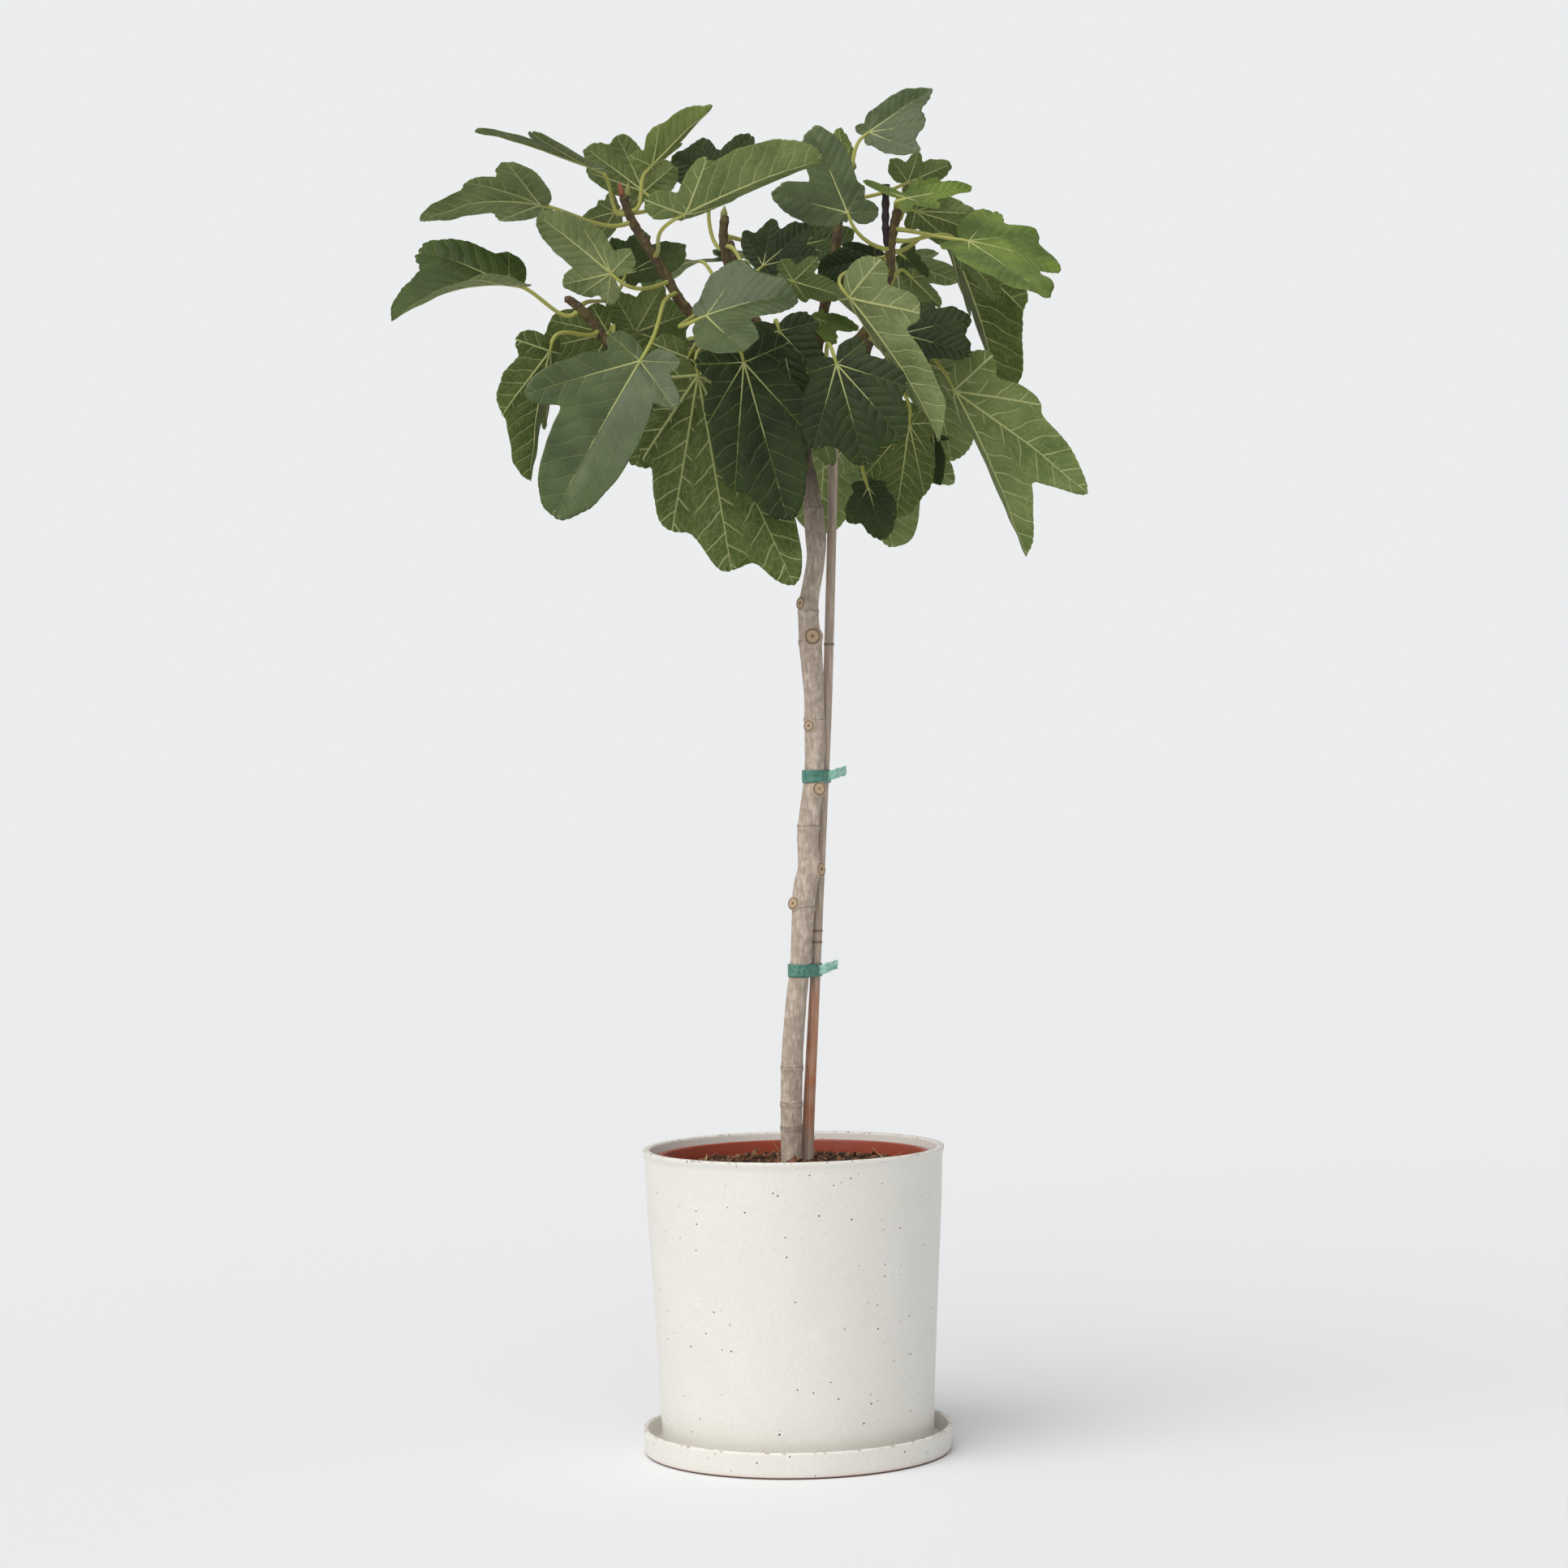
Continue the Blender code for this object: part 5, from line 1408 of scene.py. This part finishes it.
trial = Blade("trial", Vector((0, 0, 0)), Vector((0, -0.1, 0)), Vector((0, 0, 1)))
print("a plain leaf 100 mm long has", len(margin(trial)), "points round its edge")

# %% [markdown]
# ## Vein pattern
# Main veins are modelled as raised ribs on the underside. The side veins and the net between them are too
# fine for that, so they're drawn in the shader, from a map made on the mesh: u runs along the nearest main
# vein and v across it, both counted in side-vein spacings. Side veins leave the main one at about fifty
# degrees and arch forward, left and right ones in turn.

# %% Vein pattern
def vein_pattern(tree, widest):
    """Masks of the main vein, the side veins and the net, and the puff of the blade between side veins."""
    vein_map = add(tree, "UVMap", uv_map="veins")
    fade = add(tree, "UVMap", uv_map="fade")
    fade = add(tree, "SeparateXYZ", fade, out=0)
    along = add(tree, "SeparateXYZ", vein_map, out=0)
    across = add(tree, "SeparateXYZ", vein_map, out=1)
    away = add(tree, "Math", across, operation="ABSOLUTE")

    width = add(tree, "MapRange", along, 0.0, 9.0, widest, 0.2 * widest)
    main = add(tree, "Math", width, away, operation="SUBTRACT")
    main = add(tree, "MapRange", main, -0.015, 0.02, 0.0, 1.0)

    left = add(tree, "Math", across, 0.0, operation="GREATER_THAN")
    shift = add(tree, "Math", left, 0.5, operation="MULTIPLY")
    arch = add(tree, "Math", away, away, operation="MULTIPLY")
    arch = add(tree, "Math", arch, 0.09, operation="MULTIPLY")
    lean = add(tree, "Math", away, 0.72, arch, operation="MULTIPLY_ADD")
    row = add(tree, "Math", along, lean, operation="SUBTRACT")
    row = add(tree, "Math", row, shift, operation="ADD")
    warp = add(tree, "TexNoise", sockets={"Vector": vein_map, "Scale": 0.7, "Detail": 1.0})
    row = add(tree, "Math", warp, 0.5, row, operation="MULTIPLY_ADD")
    part = add(tree, "Math", row, operation="FRACT")
    part = add(tree, "Math", part, 0.5, operation="SUBTRACT")
    off = add(tree, "Math", part, operation="ABSOLUTE")
    thin = add(tree, "MapRange", away, 0.0, 4.0, 0.034, 0.004)
    side = add(tree, "Math", thin, off, operation="SUBTRACT")
    side = add(tree, "MapRange", side, -0.022, 0.012, 0.0, 1.0)
    side = add(tree, "Math", side, fade, operation="MULTIPLY")

    spread = add(tree, "CombineXYZ", row, across)
    net = add(tree, "TexVoronoi", sockets={"Vector": spread, "Scale": 3.2}, feature="DISTANCE_TO_EDGE")
    net = add(tree, "MapRange", net, 0.02, 0.09, 1.0, 0.0)
    puff = add(tree, "MapRange", off, 0.0, 0.45, 0.0, 1.0)
    return main, side, net, puff


print("vein masks: main, side, net and puff")

# %% [markdown]
# ## Two sides of a leaf
# Both sides share the vein pattern. On the upper side the veins are sunk and thin, and on the under side
# they stand out and are wider. A thin leaf lets some light through, so each side scatters a little.

# %% Two sides of a leaf
def leaf_side(name, dark, light, vein, rough, strengths, raised, sheen=0.0):
    """One side of a leaf. Strengths say how clearly main veins, side veins and net show in colour."""
    material, tree, shader = new_material(name, rough, Subsurface_Weight=0.12, Subsurface_Scale=0.002)
    shader.inputs["Subsurface Radius"].default_value = (0.6, 1.0, 0.25)
    shader.inputs["Coat Weight"].default_value = sheen
    shader.inputs["Specular IOR Level"].default_value = 0.22
    shader.inputs["Coat Roughness"].default_value = 0.38
    main, side, net, puff = vein_pattern(tree, 0.07 if raised > 0 else 0.034)
    place = add(tree, "TexCoord", out=3)
    patches = add(tree, "TexNoise", sockets={"Vector": place, "Scale": 1 / 0.035, "Detail": 3.0})
    patches = add(tree, "MapRange", patches, 0.35, 0.65, 0.0, 1.0)
    colour = add(tree, "MixRGB", patches, dark, light)
    for mask, strength in ((net, strengths[2]), (side, strengths[1]), (main, strengths[0])):
        share = add(tree, "Math", mask, strength, operation="MULTIPLY")
        colour = add(tree, "MixRGB", share, colour, vein)
    veins = add(tree, "Math", side, 0.8, main, operation="MULTIPLY_ADD")
    veins = add(tree, "Math", net, 0.25, veins, operation="MULTIPLY_ADD")
    relief = add(tree, "Math", veins, raised, puff, operation="MULTIPLY_ADD")
    pores = add(tree, "TexNoise", sockets={"Vector": place, "Scale": 1 / 0.0012, "Detail": 1.0})
    relief = add(tree, "Math", pores, 0.35, relief, operation="MULTIPLY_ADD")
    finish_skin(tree, shader, colour, relief, 0.0011, 0.85)
    return material


print("sides differ in veins, gloss and relief")

# %% [markdown]
# ## Leaf colours
# A fig leaf is dark green and a little glossy above, and pale grey-green and downy below, with light raised
# veins. Young leaves are yellower. Some leaves have a stronger satin coat, and the paler grey-green of their
# tone is partly painted sheen. The dark tone is painted shade, a darker copy for leaves in the crown's shade.
# Each tone is a pair of materials, one for each side.

# %% Leaf colours
def leaf_pair(tone, upper, under, sheen):
    """Upper and under side of one tone. Each is given as its dark and its light green."""
    above = leaf_side("fig_leaf_upper_" + tone, *upper, "#98a35c", 0.5, (0.62, 0.22, 0.03), -0.8, sheen)
    below = leaf_side("fig_leaf_under_" + tone, *under, "#b9bd86", 0.75, (0.85, 0.6, 0.13), 0.9)
    return above, below


TONES = {
    "mature": leaf_pair("mature", ("#303c18", "#3f4d20"), ("#5a6838", "#6f7b49"), 0.03),
    # The dark pair is painted shade: a darker copy of the leaf's greens for leaves that sit in shade inside
    # and under the crown.
    "dark": leaf_pair("dark", ("#202a10", "#2c3816"), ("#465226", "#556131"), 0.03),
    "young": leaf_pair("young", ("#4c6024", "#6d8033"), ("#67743a", "#7e8a4c"), 0.05),
    # The grey pair has a real, stronger coat, and its paler grey-green is partly painted sheen.
    "grey": leaf_pair("grey", ("#3c4a25", "#505e36"), ("#636e42", "#768155"), 0.5),
}
LEAF_TONES = {
    # The leaves listed as dark get painted shade, because they sit in shade inside and under the crown.
    "dark": "low_dark top_dark inner_dark low_right_dark low_right_curled low_right_back inner_left "
    "inner_hanging low_centre low_right_under right_hanging low_left left_hanging low_back right_grey",
    "young": "far_right right_small inner_bright top_young right_edge_on left_top",
    # The leaves listed as grey get a real coat, and their paler grey-green is partly painted sheen.
    "grey": "low_front centre_grey top_right_tip top_right_front left_pale right_pale",
}
petiole_skin = plain_growth("petiole_skin", "#8f9440", "#a9a955", 0.95, 1.3, 0.42)
vein_rib = plain_growth("vein_rib", "#a3a765", "#b5b878", 0.95, 1.3, 0.6)


def tone_of(name):
    """The tone of a leaf; the ones in no list are mature."""
    for tone, names in LEAF_TONES.items():
        if name in names.split():
            return tone
    return "mature"


print(len(TONES) * 2, "leaf materials")

# %% [markdown]
# ## A leaf's mesh
# Blade, ribs and stalk go into one mesh with four materials, because they grew as one. Every corner of a
# face also gets its place on the vein map.

# %% Leaf mesh
def stalk_root(twig, share, towards):
    """Where a leaf stalk meets its twig, on the bark that faces the blade, and its way out."""
    line = [over_soil(point) for point in TWIG_LINES[twig]]
    lengths = [(b - a).length for a, b in zip(line, line[1:])]
    left = share * sum(lengths)
    for start, end, length in zip(line, line[1:], lengths):
        if left <= length:
            break
        left -= length
    axis = start.lerp(end, min(left / length, 1))
    along = (end - start).normalized()
    out = towards - axis
    out = (out - along * out.dot(along)).normalized()
    radius = TWIG_RADIUS + (TWIG_TIP_RADIUS - TWIG_RADIUS) * share
    return axis + out * radius, out


class LeafMesh:
    """A leaf's mesh while it grows: its points, and for each face its corners, material and vein maps."""

    def __init__(self):
        self.points = []
        self.polygons = []
        self.slots = []
        self.vein_map = []
        self.fade_map = []

    def add_face(self, corners, slot, veins, fades):
        """Adds one face, with its place on both maps."""
        self.polygons.append(corners)
        self.slots.append(slot)
        self.vein_map.extend(veins)
        self.fade_map.extend(fades)

    def add_tube(self, part, slot):
        """Adds a tube, off the vein pattern."""
        start = len(self.points)
        self.points.extend(part[0])
        for face in part[1]:
            corners = [start + corner for corner in face]
            self.add_face(corners, slot, [(0, 9)] * len(face), [(0, 0)] * len(face))


UPPER, UNDER, RIB, STALK = range(4)
print("leaf mesh with", STALK + 1, "materials")

# %% [markdown]
# ## Blade
# The blade is a web of spokes and rings, once for each side, closed by a strip along the margin. Each spoke
# belongs to the main vein whose lobe reaches farthest there.

# %% Blade web
RINGS = (0.06, 0.15, 0.26, 0.38, 0.5, 0.62, 0.73, 0.83, 0.91, 0.965, 1)
HALF_BLADE = BLADE_THICKNESS * 0.3


def nearest_axis(blade, degrees):
    """Direction of the main vein whose lobe reaches farthest here."""
    angle = math.radians(degrees + 0.01)
    best = max(blade.lobes, key=lambda lobe: lobe_reach(lobe, angle))
    return math.radians(best[0])


def clear_of_seam(blade, degrees):
    """0 where two lobes meet, and 1 well inside one, so that side veins fade out between them."""
    angle = math.radians(degrees)
    best, second = sorted((lobe_reach(lobe, angle) for lobe in blade.lobes), reverse=True)[:2]
    return min((best - second) / max(0.16 * best, 0.01), 1)


def add_blade(parts, blade):
    """Upper side, under side and margin of the blade."""
    spokes = margin(blade)
    count = len(spokes)
    spacing = max(blade.length / 8.5, 0.004)
    flat = [(0, 0)]
    for ring in RINGS:
        for degrees, reach in spokes:
            angle = math.radians(degrees)
            flat.append((ring * reach * math.cos(angle), ring * reach * math.sin(angle)))
    for half in (1, -1):
        parts.points.append(blade.place(0, 0, half * HALF_BLADE))
        for index, (ahead, across) in enumerate(flat[1:]):
            ring = RINGS[index // count]
            parts.points.append(blade.place(ahead, across, half * HALF_BLADE * (1 - 0.6 * ring**6)))

    def vein_place(corner, axis):
        """Place along and across the main vein, in side-vein spacings."""
        x, y = flat[corner % len(flat)]
        return (
            (x * math.cos(axis) + y * math.sin(axis)) / spacing,
            (y * math.cos(axis) - x * math.sin(axis)) / spacing,
        )

    clear = [clear_of_seam(blade, degrees) for degrees, _ in spokes]
    under = len(flat)
    for step, (degrees, _) in enumerate(spokes):
        over = (step + 1) % count
        axis = nearest_axis(blade, degrees)
        for base, slot in ((0, UPPER), (under, UNDER)):
            cells = [(base, base + 1 + step, base + 1 + over)]
            for ring in range(len(RINGS) - 1):
                low = base + 1 + ring * count
                cells.append((low + step, low + count + step, low + count + over, low + over))
            for cell in cells:
                cell = cell if slot == UPPER else cell[::-1]
                veins = [vein_place(corner, axis) for corner in cell]
                fades = [(clear[(corner % under - 1) % count], 0) for corner in cell]
                parts.add_face(cell, slot, veins, fades)
        low = 1 + (len(RINGS) - 1) * count
        cell = (low + step, under + low + step, under + low + over, low + over)
        parts.add_face(cell, UNDER, [vein_place(corner, axis) for corner in cell], [(0, 0)] * 4)


print("blade web of", len(RINGS), "rings")

# %% [markdown]
# ## Ribs and stalk
# Ribs are thin tubes that taper along each main vein, half sunk in the under side. The stalk is a tube on a
# smooth curve from inside the twig to the point where the veins meet.

# %% Ribs and stalk
def add_ribs(parts, blade):
    """A tapering rib under each main vein."""
    steps = 14
    for degrees, size, _, _ in blade.lobes:
        angle = math.radians(degrees)
        far = 0.93 * size * blade.length
        thick = 0.0011 * min(far / 0.09, 1) ** 0.5 + 0.0002
        line = []
        radii = []
        for step in range(steps + 1):
            along = far * step / steps
            radius = thick * (1 - 0.82 * step / steps)
            sunk = -HALF_BLADE - 0.15 * radius
            line.append(blade.place(along * math.cos(angle), along * math.sin(angle), sunk))
            radii.append(radius)
        parts.add_tube(tube(line, radii, 8), RIB)


def add_stalk(parts, blade, twig, share):
    """The stalk, on a smooth curve from the joint of the veins to inside the twig."""
    start = blade.place(-PETIOLE_START, 0, 0)
    root, out = stalk_root(twig, share, start)
    pull = (root - start).length / 3
    controls = (start, start - blade.tangent * pull, root + out * pull, root)
    line = [blade.place(0.004, 0, -0.0008), blade.place(0, 0, -0.0006), blade.place(-0.004, 0, -0.0002)]
    radii = [0.0009, 0.0014, PETIOLE_RADIUS * 0.8]
    steps = 18
    for step in range(steps + 1):
        t = step / steps
        weights = ((1 - t) ** 3, 3 * t * (1 - t) ** 2, 3 * t * t * (1 - t), t**3)
        line.append(sum((control * weight for control, weight in zip(controls, weights)), Vector()))
        radii.append(PETIOLE_RADIUS * (0.85 + 0.25 * t**6 + 0.1 * t))
    line.append(root - out * 0.0025)
    radii.append(PETIOLE_RADIUS * 1.2)
    parts.add_tube(tube(line, radii, 12), STALK)


print("stalks are", round(2000 * PETIOLE_RADIUS, 1), "mm thick")

# %% [markdown]
# ## All leaves
# Every row of the list grows into one leaf, which takes the place of the CAD leaf with its name.

# %% All leaves
def make_leaf(name, twig, share, joint, tip, faces, shape):
    """One leaf with its stalk, in the tone of its name."""
    blade = Blade(name, over_soil(joint), over_soil(tip), Vector(faces), **shape)
    parts = LeafMesh()
    add_blade(parts, blade)
    add_ribs(parts, blade)
    add_stalk(parts, blade, twig, share)
    above, below = TONES[tone_of(name)]
    skins = (above, below, vein_rib, petiole_skin)
    leaf = new_object("fig_leaf_" + name, parts.points, parts.polygons, *skins)
    leaf.data.polygons.foreach_set("material_index", parts.slots)
    for layer_name, pairs in (("veins", parts.vein_map), ("fade", parts.fade_map)):
        layer = leaf.data.uv_layers.new(name=layer_name)
        layer.data.foreach_set("uv", [value for pair in pairs for value in pair])
    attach(leaf, "root")
    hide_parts("leaf_" + name)
    return leaf


leaves = [make_leaf(*row) for row in LEAVES]
print(len(leaves), "leaves,", sum(len(leaf.data.polygons) for leaf in leaves), "faces")
